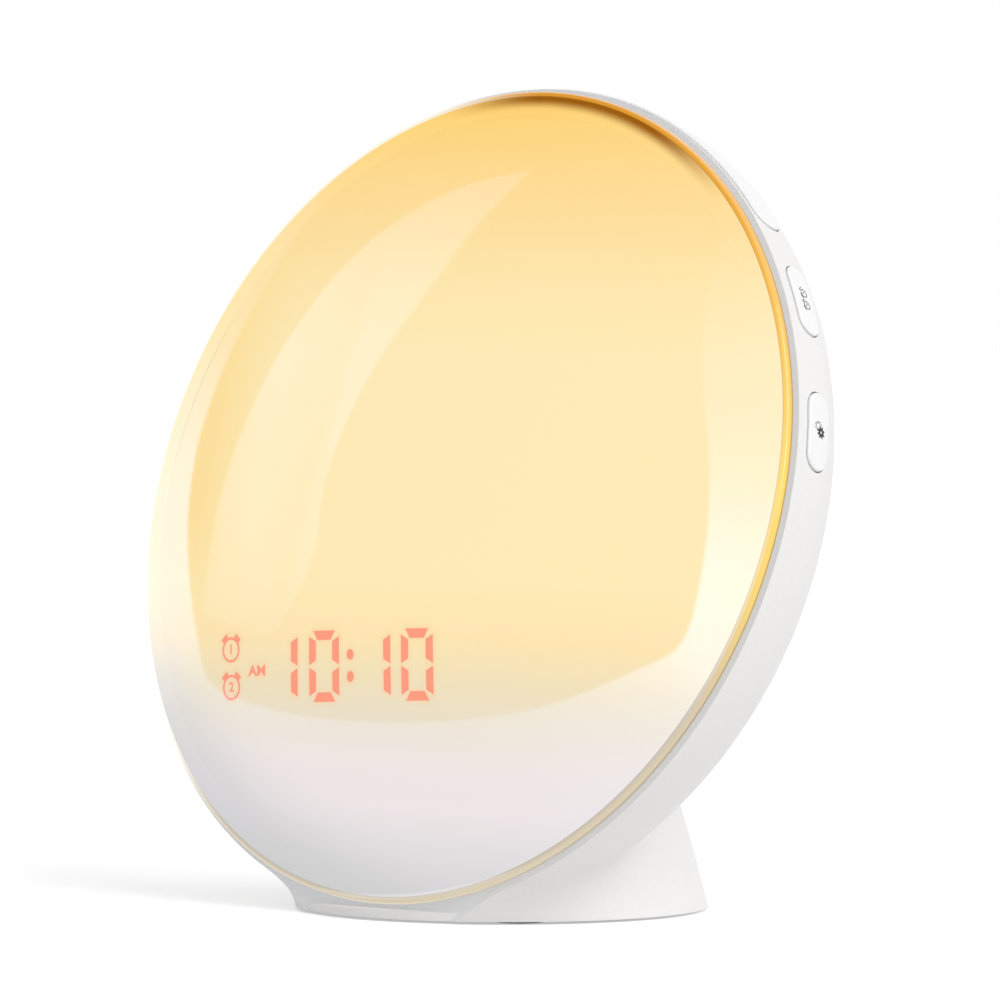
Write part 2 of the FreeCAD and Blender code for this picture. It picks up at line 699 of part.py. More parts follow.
def upright_screw(x, y, seat, length):
    """Screw with its head above the seat and its shank pointing down."""
    head = rod(screw_head_radius, x, y, seat, seat + screw_head_height)
    shank = rod(screw_shank_radius, x, y, seat - length, seat)
    recess = rod(0.8, x, y, seat + screw_head_height - 0.8, seat + screw_head_height)
    return head.fuse(shank).cut(recess)


def shifted(shape):
    """Moves a shape drawn on the face's axis to the speaker's."""
    moved = shape.copy()
    moved.translate(Vector(0, speaker_offset, 0))
    return in_row(moved)


def make_speaker():
    """Grille, gasket and loudspeaker in the back of the bowl."""
    skirt = rod(grille_radius, 0, speaker_offset, -bowl_depth - 1, -grille_flange_depth - 1)
    skirt = skirt.common(bowl_solid(-0.15, -lip_depth))
    skirt.translate(Vector(0, -speaker_offset, 0))
    flange = rod(grille_flange_radius, 0, 0, -grille_flange_depth - 1, -grille_flange_depth)
    inside = rod(speaker_radius + 0.4, 0, 0, -grille_inner_depth, 0)
    holes = []
    for row in range(-grille_rings, grille_rings + 1):
        count = 2 * grille_rings + 1 - abs(row)
        for i in range(count):
            x = (i - (count - 1) / 2) * grille_hole_pitch
            y = row * grille_hole_pitch * math.sqrt(3) / 2
            holes.append(rod(grille_hole_radius, x, y, -bowl_depth - 1, -grille_inner_depth + 1))
    add("speaker_grille", shifted(skirt.fuse(flange).cut(Part.makeCompound([inside] + holes))))

    flange_back = grille_inner_depth - gasket_thickness
    basket_top = flange_back - flange_thickness
    add("speaker_gasket", shifted(tube(speaker_radius, speaker_radius - 2.8, -grille_inner_depth, -flange_back)))
    magnet_back = magnet_front_depth + 4.0
    basket = ring([(speaker_radius - 3.4, -flange_back), (speaker_radius, -flange_back),
                   (speaker_radius, -basket_top), (speaker_radius - 1.2, -basket_top),
                   (magnet_radius, -magnet_back), (magnet_radius - 5, -magnet_back),
                   (magnet_radius - 5, -magnet_back - 1), (magnet_radius - 0.6, -magnet_back - 1),
                   (speaker_radius - 3.4, -basket_top + 0.4)])
    add("speaker_basket", shifted(basket))
    add("speaker_magnet", shifted(tube(magnet_radius, 4.6, -magnet_back, -magnet_front_depth)))
    edge = speaker_radius - 5.6
    throat = magnet_back + 2.0
    former = 4.2
    cone = ring([(former - 0.4, -throat + 3.7), (former, -throat + 3.7), (former, -throat + 0.4),
                 (5.0, -throat + 0.4), (edge, -flange_back + 0.8), (edge, -flange_back + 0.4),
                 (5.0, -throat - 0.1), (former - 0.4, -throat - 0.1)])
    cap = spun([line((0, -throat - 2.2), (0, -throat - 1.6)), dome_down(-throat - 1.6, 4.6, -throat - 0.2),
                line((4.6, -throat - 0.2), (5.0, -throat - 0.2)), dome_down(-throat - 2.2, 5.0, -throat - 0.2, True)])
    add("speaker_cone", shifted(cone))
    add("speaker_dust_cap", shifted(cap))
    roll = tube(speaker_radius - 3.7, edge + 0.05, -flange_back + 0.1, -flange_back + 0.6)
    add("speaker_surround", shifted(roll))


def dome_down(crown, rim_radius, rim, inward=False):
    """Shallow arc that bulges towards the back, from the axis to the rim or the other way."""
    drop = rim - crown
    sphere = (rim_radius ** 2 + drop ** 2) / (2 * drop)
    middle = crown + sphere - math.sqrt(sphere ** 2 - rim_radius ** 2 / 4)
    start, end = Vector(0, 0, crown), Vector(rim_radius, 0, rim)
    if inward:
        start, end = end, start
    return Part.Arc(start, Vector(rim_radius / 2, 0, middle), end).toShape()


def lead(points, ends_radius):
    """Insulated wire along straight runs joined by arcs as large as the runs allow."""
    edges, start = [], points[0]
    for i in range(1, len(points) - 1):
        before, after = points[i] - points[i - 1], points[i + 1] - points[i]
        reach = 0.45 * min(before.Length, after.Length)
        into, away = before.normalize(), after.normalize()
        first, last = points[i] - into * reach, points[i] + away * reach
        half_turn = into.getAngle(away) / 2
        bend_radius = reach / math.tan(half_turn)
        inward = (away - into).normalize()
        middle = points[i] + inward * bend_radius * (1 / math.cos(half_turn) - 1)
        edges.append(Part.LineSegment(start, first).toShape())
        edges.append(Part.Arc(first, middle, last).toShape())
        start = last
    edges.append(Part.LineSegment(start, points[-1]).toShape())
    path = Part.Wire(edges)
    mouth = Part.Wire([Part.Circle(points[0], points[1] - points[0], ends_radius).toShape()])
    tube_along = path.makePipeShell([mouth], True, True)
    print("lead", round(path.Length, 1), round(tube_along.Volume / (math.pi * ends_radius ** 2), 1))
    return tube_along


def make_leads():
    """Two-wire leads: power board to main board, and loudspeaker to main board."""
    back = -main_board_depth - main_board_thickness
    forward = head_placement.Rotation.multVec(axis)
    board_top = power_board_height + power_board_thickness
    wires = []
    for x in (-power_lead_x, power_lead_x):
        landing = head_placement.multVec(Vector(x, main_board_bottom + 4, back))
        wires.append(lead([Vector(x, power_lead_y, board_top), Vector(x, power_lead_y, board_top + 10),
                           landing - forward * 10, landing], lead_radius))
    add("power_leads", *wires)
    rim = speaker_offset - speaker_radius + 0.6
    flange_front = -grille_inner_depth + gasket_thickness + flange_thickness
    wires = []
    for x in (-3, 3):
        route = [Vector(x, rim, flange_front), Vector(x, rim, back - 2.2), Vector(x, main_board_top - 3, back - 2.2),
                 Vector(x, main_board_top - 3, back)]
        wires.append(in_row(lead(route, 0.5)))
    add("speaker_leads", *wires)


def make_main_board():
    """Main board behind the lamps, its parts and its screws."""
    front, back = -main_board_depth, -main_board_depth - main_board_thickness
    board = block((-main_board_half_width, main_board_half_width), (main_board_bottom, main_board_top), (back, front))
    holes = [rod(free_hole_radius, x, y, back - 1, front + 1) for x, y in main_board_posts()]
    add("main_board", in_row(board.cut(Part.makeCompound(holes))))
    middle = (main_board_top + main_board_bottom) / 2
    parts = [
        block((-6, 4), (middle - 5, middle + 5), (front, front + 1.6)),
        block((10, 16), (middle + 2, middle + 7), (front, front + 1.6)),
        block((-20, -12), (main_board_bottom + 1, main_board_bottom + 5), (front, front + 4)),
        block((6, 18), (main_board_bottom + 1, main_board_bottom + 5), (front, front + 4)),
        rod(3.0, 20, middle - 6, front, front + 4.2),
        rod(3.0, -18, middle + 4, front, front + 4.2),
        rod(2.0, 12, middle - 5, front, front + 4.0),
    ]
    add("board_parts", *[in_row(part) for part in parts])
    spacers = [rod(2.5, x, y, front, -led_board_back).cut(rod(pilot_radius, x, y, front, -led_board_back))
               for x, y in main_board_posts()]
    add("board_spacers", *[in_row(spacer) for spacer in spacers])
    add("main_board_screws", *[in_row(screw(x, y, back, 5.0)) for x, y in main_board_posts()])


make_front()
make_light()
make_display()
make_housing(make_buttons())
make_base()
make_power()
make_speaker()
make_main_board()
make_leads()

os.makedirs("parts", exist_ok=True)
for name, shape in nodes.items():
    if not shape.isValid():
        print("not valid:", name)
    shape.exportStep(os.path.join("parts", name + ".step"))
    print(name, len(shape.Solids), round(shape.Volume, 1))
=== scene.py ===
import math

import bmesh
import bpy
from mathutils import Matrix, Vector
from mathutils.bvhtree import BVHTree
from mathutils.geometry import delaunay_2d_cdt


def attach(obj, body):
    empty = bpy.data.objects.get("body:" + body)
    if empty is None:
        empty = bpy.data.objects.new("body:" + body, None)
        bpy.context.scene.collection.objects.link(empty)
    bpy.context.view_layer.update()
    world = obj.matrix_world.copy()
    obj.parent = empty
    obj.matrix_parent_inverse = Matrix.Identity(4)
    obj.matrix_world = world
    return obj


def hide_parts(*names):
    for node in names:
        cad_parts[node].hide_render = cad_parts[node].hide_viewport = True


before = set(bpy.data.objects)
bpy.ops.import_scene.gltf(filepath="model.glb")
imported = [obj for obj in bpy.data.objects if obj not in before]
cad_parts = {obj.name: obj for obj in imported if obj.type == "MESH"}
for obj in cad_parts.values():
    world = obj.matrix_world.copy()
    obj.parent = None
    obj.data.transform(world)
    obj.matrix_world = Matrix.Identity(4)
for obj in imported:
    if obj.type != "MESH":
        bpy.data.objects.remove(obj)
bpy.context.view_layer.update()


# Camera. It stands where the photograph was taken: 42 degrees round to the right of the
# front and just above the table, with a long lens.
CAMERA_AZIMUTH = 41.7
CAMERA_ELEVATION = 1.51
CAMERA_DISTANCE = 1.5
CAMERA_LENS = 250.0
CAMERA_TARGET = Vector((0, 0, 0.085))
CAMERA_SHIFT = (-0.00246, 0.01469)


def direction(azimuth, elevation):
    """Unit vector from the object towards a place round it, in degrees."""
    turn, rise = math.radians(azimuth), math.radians(elevation)
    return Vector((math.sin(turn) * math.cos(rise), -math.cos(turn) * math.cos(rise), math.sin(rise)))


to_camera = direction(CAMERA_AZIMUTH, CAMERA_ELEVATION)
camera_data = bpy.data.cameras.new("camera")
camera_data.lens = CAMERA_LENS
camera_data.shift_x, camera_data.shift_y = CAMERA_SHIFT
camera = bpy.data.objects.new("camera", camera_data)
camera.location = CAMERA_TARGET + to_camera * CAMERA_DISTANCE
camera.rotation_euler = (-to_camera).to_track_quat("-Z", "Y").to_euler()
bpy.context.scene.collection.objects.link(camera)
bpy.context.scene.camera = camera
bpy.context.scene.view_settings.view_transform = "Standard"


# White room. The world shows white to the eye and in reflections, and lights the object
# evenly at a lower level, so that white plastic keeps its shading.
FILL_STRENGTH = 0.47


def hex_colour(code):
    """An sRGB hex value as a linear colour."""
    parts = [int(code[i:i + 2], 16) / 255 for i in (0, 2, 4)]
    linear = [c / 12.92 if c <= 0.04045 else ((c + 0.055) / 1.055) ** 2.4 for c in parts]
    return (*linear, 1.0)


def add_node(tree, kind, inputs=None, **settings):
    """Adds one node, sets its properties, and gives its inputs a link or a plain value."""
    node = tree.nodes.new(kind)
    for name, value in settings.items():
        setattr(node, name, value)
    for name, value in (inputs or {}).items():
        if isinstance(value, bpy.types.NodeSocket):
            tree.links.new(value, node.inputs[name])
        else:
            node.inputs[name].default_value = value
    return node


def maths(tree, operation, *values):
    """A Math node's result."""
    return add_node(tree, "ShaderNodeMath", dict(enumerate(values)), operation=operation).outputs[0]


def seen_rays(tree):
    """1 for what the eye sees, straight or by way of gloss and glass."""
    path = add_node(tree, "ShaderNodeLightPath")
    seen = maths(tree, "MAXIMUM", path.outputs["Is Camera Ray"], path.outputs["Is Glossy Ray"])
    return maths(tree, "MAXIMUM", seen, path.outputs["Is Transmission Ray"])


world = bpy.data.worlds.new("white_room")
bpy.context.scene.world = world
world.use_nodes = True
tree = world.node_tree
tree.nodes.clear()
strength = add_node(tree, "ShaderNodeMapRange", {
    "Value": seen_rays(tree), "To Min": FILL_STRENGTH, "To Max": 1.0})
sky = add_node(tree, "ShaderNodeBackground", {
    "Color": hex_colour("ffffff"), "Strength": strength.outputs["Result"]})
add_node(tree, "ShaderNodeOutputWorld", {"Surface": sky.outputs[0]})


def link(item):
    """Puts an object in the scene."""
    bpy.context.scene.collection.objects.link(item)
    return item


def soft_sun(name, azimuth, elevation, strength, spread):
    """A wide, even lamp, like a big diffuser far away."""
    data = bpy.data.lights.new(name, "SUN")
    data.energy = strength
    data.angle = math.radians(spread)
    lamp = link(bpy.data.objects.new(name, data))
    lamp.rotation_euler = direction(azimuth, elevation).to_track_quat("Z", "Y").to_euler()


soft_sun("key_from_right", azimuth=88, elevation=34, strength=1.4, spread=50)
soft_sun("fill_from_front", azimuth=20, elevation=55, strength=0.3, spread=80)


# Table. A plain white sweep that shows white where it is lit and keeps the soft contact
# shadow round the foot.
TABLE_HALF = 30.0
TABLE_GLOW = 0.42


def new_mesh(name, vertices, faces):
    """A mesh from plain lists."""
    mesh = bpy.data.meshes.new(name)
    mesh.from_pydata(vertices, [], faces)
    return mesh


def new_material(name, colour, roughness, **sockets):
    """A material with one Principled shader, whose plain values sit on its own sockets."""
    material = bpy.data.materials.new(name)
    material.use_nodes = True
    shader = material.node_tree.nodes["Principled BSDF"]
    shader.inputs["Base Color"].default_value = hex_colour(colour)
    shader.inputs["Roughness"].default_value = roughness
    for socket, value in sockets.items():
        shader.inputs[socket.replace("_", " ")].default_value = value
    return material, material.node_tree, shader


corners = [(TABLE_HALF * x, TABLE_HALF * y, 0) for x, y in ((-1, -1), (1, -1), (1, 1), (-1, 1))]
table = link(bpy.data.objects.new("table", new_mesh("table", corners, [(0, 1, 2, 3)])))
matt_card, tree, shader = new_material("matt_white_card", "f0f0f0", 0.9, Specular_IOR_Level=0.0,
                                       Emission_Color=hex_colour("ffffff"))
tree.links.new(maths(tree, "MULTIPLY", seen_rays(tree), TABLE_GLOW), shader.inputs["Emission Strength"])
table.data.materials.append(matt_card)


# Head. Lens, diffuser, keys and lamps are all laid out on the leaning face: x to the
# right, y towards 12 o'clock, z out of the face, in millimetres from its centre.
MM = 0.001
FACE_LEAN_BACK = 16.19
FACE_CENTRE = Vector((0.0, -0.01549, 0.0901))
HEAD = Matrix.Translation(FACE_CENTRE) @ Matrix.Rotation(math.radians(90 - FACE_LEAN_BACK), 4, "X")


def face_place(tree):
    """The shaded point in face millimetres, and its distance from the face's axis."""
    place = add_node(tree, "ShaderNodeTexCoord")
    turned = add_node(tree, "ShaderNodeMapping", {
        "Vector": place.outputs["Object"], "Location": FACE_CENTRE, "Scale": (MM, MM, MM),
        "Rotation": (math.radians(90 - FACE_LEAN_BACK), 0, 0)}, vector_type="TEXTURE")
    split = add_node(tree, "ShaderNodeSeparateXYZ", {0: turned.outputs[0]})
    x, y, z = split.outputs
    squares = maths(tree, "ADD", maths(tree, "MULTIPLY", x, x), maths(tree, "MULTIPLY", y, y))
    return x, y, z, maths(tree, "SQRT", squares)


def fade(tree, value, start, end, low=0.0, high=1.0):
    """Smooth step of a value between two limits."""
    step = add_node(tree, "ShaderNodeMapRange", {
        "Value": value, "From Min": start, "From Max": end, "To Min": low, "To Max": high},
        interpolation_type="SMOOTHSTEP")
    return step.outputs["Result"]


def near(tree, value, middle, inner, outer):
    """1 at the middle value, falling to 0 between two distances from it."""
    away = maths(tree, "ABSOLUTE", maths(tree, "SUBTRACT", value, middle))
    return fade(tree, away, inner, outer, 1.0, 0.0)


def ramp(tree, value, low, high, stops):
    """Colours by a value, from a list of (value, hex) stops."""
    level = add_node(tree, "ShaderNodeMapRange", {"Value": value, "From Min": low, "From Max": high})
    node = add_node(tree, "ShaderNodeValToRGB", {"Fac": level.outputs["Result"]})
    elements = node.color_ramp.elements
    while len(elements) < len(stops):
        elements.new(0.5)
    for element, (at, code) in zip(elements, sorted(stops)):
        element.position = (at - low) / (high - low)
        element.color = hex_colour(code)
    return node.outputs["Color"]


def mix_colour(tree, factor, first, second):
    """Mixes two colours, each a socket or a hex value, by a factor."""
    mix = add_node(tree, "ShaderNodeMix", data_type="RGBA")
    for index, value in ((0, factor), (6, first), (7, second)):     # its factor and colour sockets
        if isinstance(value, bpy.types.NodeSocket):
            tree.links.new(value, mix.inputs[index])
        else:
            mix.inputs[index].default_value = hex_colour(value) if index else value
    return mix.outputs[2]


def paint(material, *names):
    """Gives CAD nodes their material."""
    for name in names:
        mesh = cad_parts[name].data
        mesh.materials.clear()
        mesh.materials.append(material)


def face_piece(name, mesh, body):
    """Puts a mesh drawn in face millimetres on the head as a piece of its own."""
    mesh.transform(HEAD @ Matrix.Scale(MM, 4))
    mesh.update()
    piece = link(bpy.data.objects.new(name, mesh))
    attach(piece, body)
    return piece


# Time display. Red digits, colon, morning mark and two alarm marks shine through the milky
# sheet from the block behind it, so their edges soften and they carry a faint halo.
DISPLAY_MIDDLE = -39.6
ROW_MIDDLE = -17.0
ROW_TILT = 0.0415                       # the row climbs to the right on the face
DIGIT_HEIGHT = 15.4
DIGIT_WIDTH = 9.0
DIGIT_STARTS = (-42.6, -29.9, -14.7, -2.5)
DIGIT_SHEAR = math.tan(math.radians(12.2))
STROKE = 1.95
STROKE_GAP = 0.35
STROKE_CORNER = 1.3
STROKE_BEVEL = 1.0
LIT_STROKES = {"1": "bc", "0": "abcdef"}
COLON_X = -17.5
COLON_RISE = 2.4
DOT_HALF_WIDTH = 1.0
DOT_HALF_HEIGHT = 1.15
DOT_POINTS = 12
ALARM_MARKS = (("1", -55.9, -35.2), ("2", -53.9, -43.6))
ALARM_MARK_LIFT = 0.3       # the row's slant is taken about a point this far above the ring
ALARM_RING = (2.55, 0.42)   # radius and width
ALARM_BELL = (3.3, 0.8)
BELL_SPANS = ((34, 68), (112, 146))
MORNING_MARK = (-46.2, -40.2)


def digit_strokes(left, lit_strokes):
    """Outlines of the lit strokes of one figure, before the slant."""
    half, right = DIGIT_HEIGHT / 2, left + DIGIT_WIDTH
    near_end, far_end = STROKE_GAP, half - STROKE_CORNER
    start, end, run = left + STROKE_CORNER, right - STROKE_CORNER, STROKE_BEVEL + 0.2

    def upright(outer, inner, side):
        return [(outer, side * near_end), (outer, side * far_end), (inner, side * (far_end - STROKE_BEVEL)),
                (inner, side * (near_end + STROKE_BEVEL))]

    def level(side):
        return [(start, side * half), (end, side * half), (end - run, side * (half - STROKE)),
                (start + run, side * (half - STROKE))]

    shapes = {"a": level(1), "d": level(-1), "b": upright(right, right - STROKE, 1),
              "c": upright(right, right - STROKE, -1), "f": upright(left, left + STROKE, 1),
              "e": upright(left, left + STROKE, -1)}
    return [shapes[stroke] for stroke in lit_strokes]


def round_outline(x, y, half_width, half_height, steps=24):
    """Points round an ellipse."""
    turns = [2 * math.pi * i / steps for i in range(steps)]
    return [(x + half_width * math.cos(t), y + half_height * math.sin(t)) for t in turns]


def arc_band(x, y, radius, width, start, end, steps=12):
    """A bent bar along an arc, angles in degrees, as points and the quads between them."""
    turns = [math.radians(start + (end - start) * i / steps) for i in range(steps + 1)]
    points = [(x + rim * math.cos(t), y + rim * math.sin(t))
              for rim in (radius + width / 2, radius - width / 2) for t in turns]
    return points, [[i, i + 1, steps + 2 + i, steps + 1 + i] for i in range(steps)]


def lettering(text, x, y, height, bold, wide=1.0):
    """Flat mesh outline of plain characters, centred on a point."""
    curve = bpy.data.curves.new("lettering", "FONT")
    curve.body = text
    curve.size = height / 0.7           # capitals stand 0.7 of the font's size
    curve.align_x, curve.align_y = "CENTER", "CENTER"
    curve.offset = bold
    curve.resolution_u = 4
    writer = link(bpy.data.objects.new("lettering", curve))
    bpy.context.view_layer.update()
    mesh = bpy.data.meshes.new_from_object(writer.evaluated_get(bpy.context.evaluated_depsgraph_get()))
    bpy.data.objects.remove(writer)
    vertices = [(v.co.x * wide + x, v.co.y + y) for v in mesh.vertices]
    return vertices, [list(face.vertices) for face in mesh.polygons]


def set_in_row(points, level):
    """Slants shapes about a level and lifts them with the row, so that they look upright."""
    return [(x - DIGIT_SHEAR * (y - level), y + ROW_TILT * (x - ROW_MIDDLE)) for x, y in points]


plates = []
for start, figure in zip(DIGIT_STARTS, "1010"):
    for stroke in digit_strokes(start, LIT_STROKES[figure]):
        plates.append(([(x, DISPLAY_MIDDLE + y) for x, y in stroke], [[0, 1, 2, 3]], DISPLAY_MIDDLE))
for rise in (-COLON_RISE, COLON_RISE):
    dot = round_outline(COLON_X, DISPLAY_MIDDLE + rise, DOT_HALF_WIDTH, DOT_HALF_HEIGHT, DOT_POINTS)
    plates.append((dot, [list(range(DOT_POINTS))], DISPLAY_MIDDLE))
for figure, x, y in ALARM_MARKS:
    alarm_clock = [arc_band(x, y, *ALARM_RING, 0, 360, 32)]
    alarm_clock += [arc_band(x, y, *ALARM_BELL, *span) for span in BELL_SPANS]
    alarm_clock.append(lettering(figure, x, y, height=2.0, bold=0.02))
    plates += [(*shape, y + ALARM_MARK_LIFT) for shape in alarm_clock]
plates.append((*lettering("AM", *MORNING_MARK, height=2.2, bold=0.04, wide=1.2), MORNING_MARK[1]))
vertices, faces = [], []
for points, polygons, level in plates:
    faces += [[len(vertices) + i for i in polygon] for polygon in polygons]
    vertices += [(x, y, 0) for x, y in set_in_row(points, level)]
edge_uses = {}
for polygon in faces:
    for i, j in zip(polygon, polygon[1:] + polygon[:1]):
        edge = min(i, j), max(i, j)
        edge_uses[edge] = edge_uses.get(edge, 0) + 1
lit_outline = [edge for edge, uses in edge_uses.items() if uses == 1]
lit_shapes = link(bpy.data.objects.new("lit_shapes", new_mesh("lit_shapes", vertices, faces)))


# Light diffuser. A domed sheet of milky polycarbonate, lit warm from behind: amber at the top and pale yellow
# over the middle, with the display in it. Its unlit white bottom is painted light: the room's light on it is
# painted into the glow, greyer towards the rim as painted shade.
SHEET_RADIUS = 87.4
SHEET_CROWN = 4.7
SHEET_RIM = -1.95
SHEET_THICKNESS = 1.3
SHEET_BACK = -3.2
WINDOW = (-63.0, 7.0, -50.5, -29.5)     # left, right, low and high of the display
FINE_STEP = 0.3
COARSE_STEP = 3.0
RIM_MARGIN = 1.0
RIM_POINTS = 180
BACK_RINGS = (0.75, 0.5, 0.25)          # shares of the sheet's radius
# The lowest stops paint the room's light on the unlit sheet into its glow, greyer at the rim as painted
# shade.
FACE_COLOURS = (                        # height on the face in mm, and colour
    (-88, "d2cdc8"), (-80, "dcd7d2"), (-70, "eadfdb"), (-60, "ebe0d6"), (-50, "ece0c8"), (-42, "f2e2bc"),
    (-33, "fee6b2"), (-20, "ffebb6"), (30, "ffebb6"), (45, "ffe8ae"), (60, "ffe09e"), (75, "ffda8c"),
    (84, "ffd67c"), (89, "f6c464"))
FACE_SIDE_COLOUR = "ffdf96"
PAINTED_RIM_SHADE_COLOUR = "c6c3bc"
FRAME_SHADE_COLOUR = "9b5c0c"


def steps_over(low, high, fine_low, fine_high):
    """Grid lines, close together over the display and far apart elsewhere."""
    lines, at = [], low
    while at < high:
        lines.append(at)
        at += FINE_STEP if fine_low <= at < fine_high else COARSE_STEP
    return lines


def dome_height(x, y, crown, rim_radius, rim):
    """Height of a ball's cap with its crown and its rim at these heights."""
    drop = crown - rim
    sphere = (rim_radius ** 2 + drop ** 2) / (2 * drop)
    return crown - sphere + math.sqrt(max(sphere ** 2 - x * x - y * y, 0))


inside = SHEET_RADIUS - RIM_MARGIN
points = [Vector((x, y)) for x in steps_over(-inside, inside, WINDOW[0], WINDOW[1])
          for y in steps_over(-inside, inside, WINDOW[2], WINDOW[3]) if math.hypot(x, y) < inside]
rim_points = [Vector(place) for place in round_outline(0, 0, SHEET_RADIUS, SHEET_RADIUS, RIM_POINTS)]
rim_edges = [(len(points) + i, len(points) + (i + 1) % RIM_POINTS) for i in range(RIM_POINTS)]
drawn = [Vector(co[:2]) for co in vertices]
first = len(points) + len(rim_points)
drawn_edges = [(first + i, first + j) for i, j in lit_outline]
flat_points, _, flat_faces, *_ = delaunay_2d_cdt(
    points + rim_points + drawn, rim_edges + drawn_edges, [], 1, 0.001)
sheet_mesh = new_mesh("light_diffuser_sheet", [(p.x, p.y, 0) for p in flat_points], flat_faces)

# The tree measures how far each point of the sheet lies from the lit shapes.
shine = bpy.data.node_groups.new("display_shine", "GeometryNodeTree")
shine.interface.new_socket("Geometry", in_out="INPUT", socket_type="NodeSocketGeometry")
shine.interface.new_socket("Lit shapes", in_out="INPUT", socket_type="NodeSocketObject")
shine.interface.new_socket("Geometry", in_out="OUTPUT", socket_type="NodeSocketGeometry")
given = add_node(shine, "NodeGroupInput")
shapes = add_node(shine, "GeometryNodeObjectInfo", {"Object": given.outputs["Lit shapes"]})
reach = add_node(shine, "GeometryNodeProximity", {0: shapes.outputs["Geometry"]}, target_element="FACES")
kept = add_node(shine, "GeometryNodeStoreNamedAttribute", {
    "Geometry": given.outputs["Geometry"], "Name": "from_lit_shape", "Value": reach.outputs["Distance"]},
    data_type="FLOAT", domain="POINT")
add_node(shine, "NodeGroupOutput", {"Geometry": kept.outputs["Geometry"]})


def made_by(tree, mesh, name, **values):
    """Runs a geometry tree on a mesh and returns the plain mesh that it makes."""
    holder = link(bpy.data.objects.new(name, mesh))
    modifier = holder.modifiers.new(name, "NODES")
    modifier.node_group = tree
    for item in tree.interface.items_tree:
        label = item.name.lower().replace(" ", "_")
        if item.in_out == "INPUT" and label in values:
            modifier[item.identifier] = values[label]
    bpy.context.view_layer.update()
    result = bpy.data.meshes.new_from_object(holder.evaluated_get(bpy.context.evaluated_depsgraph_get()))
    result.name = name
    bpy.data.objects.remove(holder)
    return result


sheet_mesh = made_by(shine, sheet_mesh, "light_diffuser_sheet", lit_shapes=lit_shapes)
bpy.data.objects.remove(lit_shapes)
form = bmesh.new()
form.from_mesh(sheet_mesh)
for vertex in form.verts:
    vertex.co.z = dome_height(vertex.co.x, vertex.co.y, SHEET_CROWN, SHEET_RADIUS, SHEET_RIM)
rim_loop = [edge for edge in form.edges if edge.is_boundary]
wall = bmesh.ops.extrude_edge_only(form, edges=rim_loop)["geom"]
for vertex in [item for item in wall if isinstance(item, bmesh.types.BMVert)]:
    vertex.co.z = SHEET_BACK
edge_loop = [item for item in wall if isinstance(item, bmesh.types.BMEdge)]
for share in BACK_RINGS:
    grown = bmesh.ops.extrude_edge_only(form, edges=edge_loop)["geom"]
    edge_loop = [item for item in grown if isinstance(item, bmesh.types.BMEdge)]
    for vertex in [item for item in grown if isinstance(item, bmesh.types.BMVert)]:
        x, y = Vector((vertex.co.x, vertex.co.y)).normalized() * SHEET_RADIUS * share
        vertex.co = (x, y, dome_height(x, y, SHEET_CROWN - SHEET_THICKNESS, SHEET_RADIUS, SHEET_BACK))
bmesh.ops.edgeloop_fill(form, edges=edge_loop)
bmesh.ops.recalc_face_normals(form, faces=form.faces)
form.to_mesh(sheet_mesh)
form.free()
sheet_mesh.shade_smooth()
sheet_mesh.set_sharp_from_angle(angle=math.radians(40))


def face_glow(tree, x, y, radius):
    """The lit face's colour: down the face, darker at its left, with painted shade: grey near the lower left
    rim, dark amber where the frame stands.

    All limits are millimetres on the face, and degrees from 12 o'clock."""
    glow = ramp(tree, y, -90, 90, FACE_COLOURS)
    at_side = maths(tree, "MULTIPLY", fade(tree, x, -55, -80), fade(tree, y, -40, -5))
    glow = mix_colour(tree, maths(tree, "MULTIPLY", at_side, 0.8), glow, FACE_SIDE_COLOUR)
    # Painted shade: grey towards the lower left rim.
    diagonal = maths(tree, "ADD", y, maths(tree, "MULTIPLY", x, 0.55))
    painted_low_left_shade = maths(tree, "MULTIPLY", fade(tree, radius, 62, 88), fade(tree, diagonal, -70, -105))
    glow = mix_colour(tree, maths(tree, "MULTIPLY", painted_low_left_shade, 0.8), glow, PAINTED_RIM_SHADE_COLOUR)
    around = maths(tree, "ARCTAN2", x, y)
    near_top = maths(tree, "MULTIPLY", fade(tree, around, math.radians(-16), math.radians(2)),
                     fade(tree, around, math.radians(44), math.radians(24)))
    shade = maths(tree, "MULTIPLY", near_top, fade(tree, radius, 85.6, 88.3))
    return mix_colour(tree, shade, glow, FRAME_SHADE_COLOUR)


milky, tree, shader = new_material("milky_polycarbonate", "24221f", 0.5, Specular_IOR_Level=0.0,
                                   Emission_Strength=1.09)
x, y, z, radius = face_place(tree)
glow = face_glow(tree, x, y, radius)
distance = add_node(tree, "ShaderNodeAttribute", attribute_name="from_lit_shape").outputs["Fac"]
halo = maths(tree, "MULTIPLY", fade(tree, distance, 1.5, 0.05), 0.35)
glow = mix_colour(tree, halo, glow, "ffcb9e")
glow = mix_colour(tree, fade(tree, distance, 0.13, 0.0), glow, "fe9c80")
tree.links.new(glow, shader.inputs["Emission Color"])
sheet_mesh.materials.append(milky)
light_sheet = face_piece("light_diffuser_sheet", sheet_mesh, "clock")
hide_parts("light_diffuser")


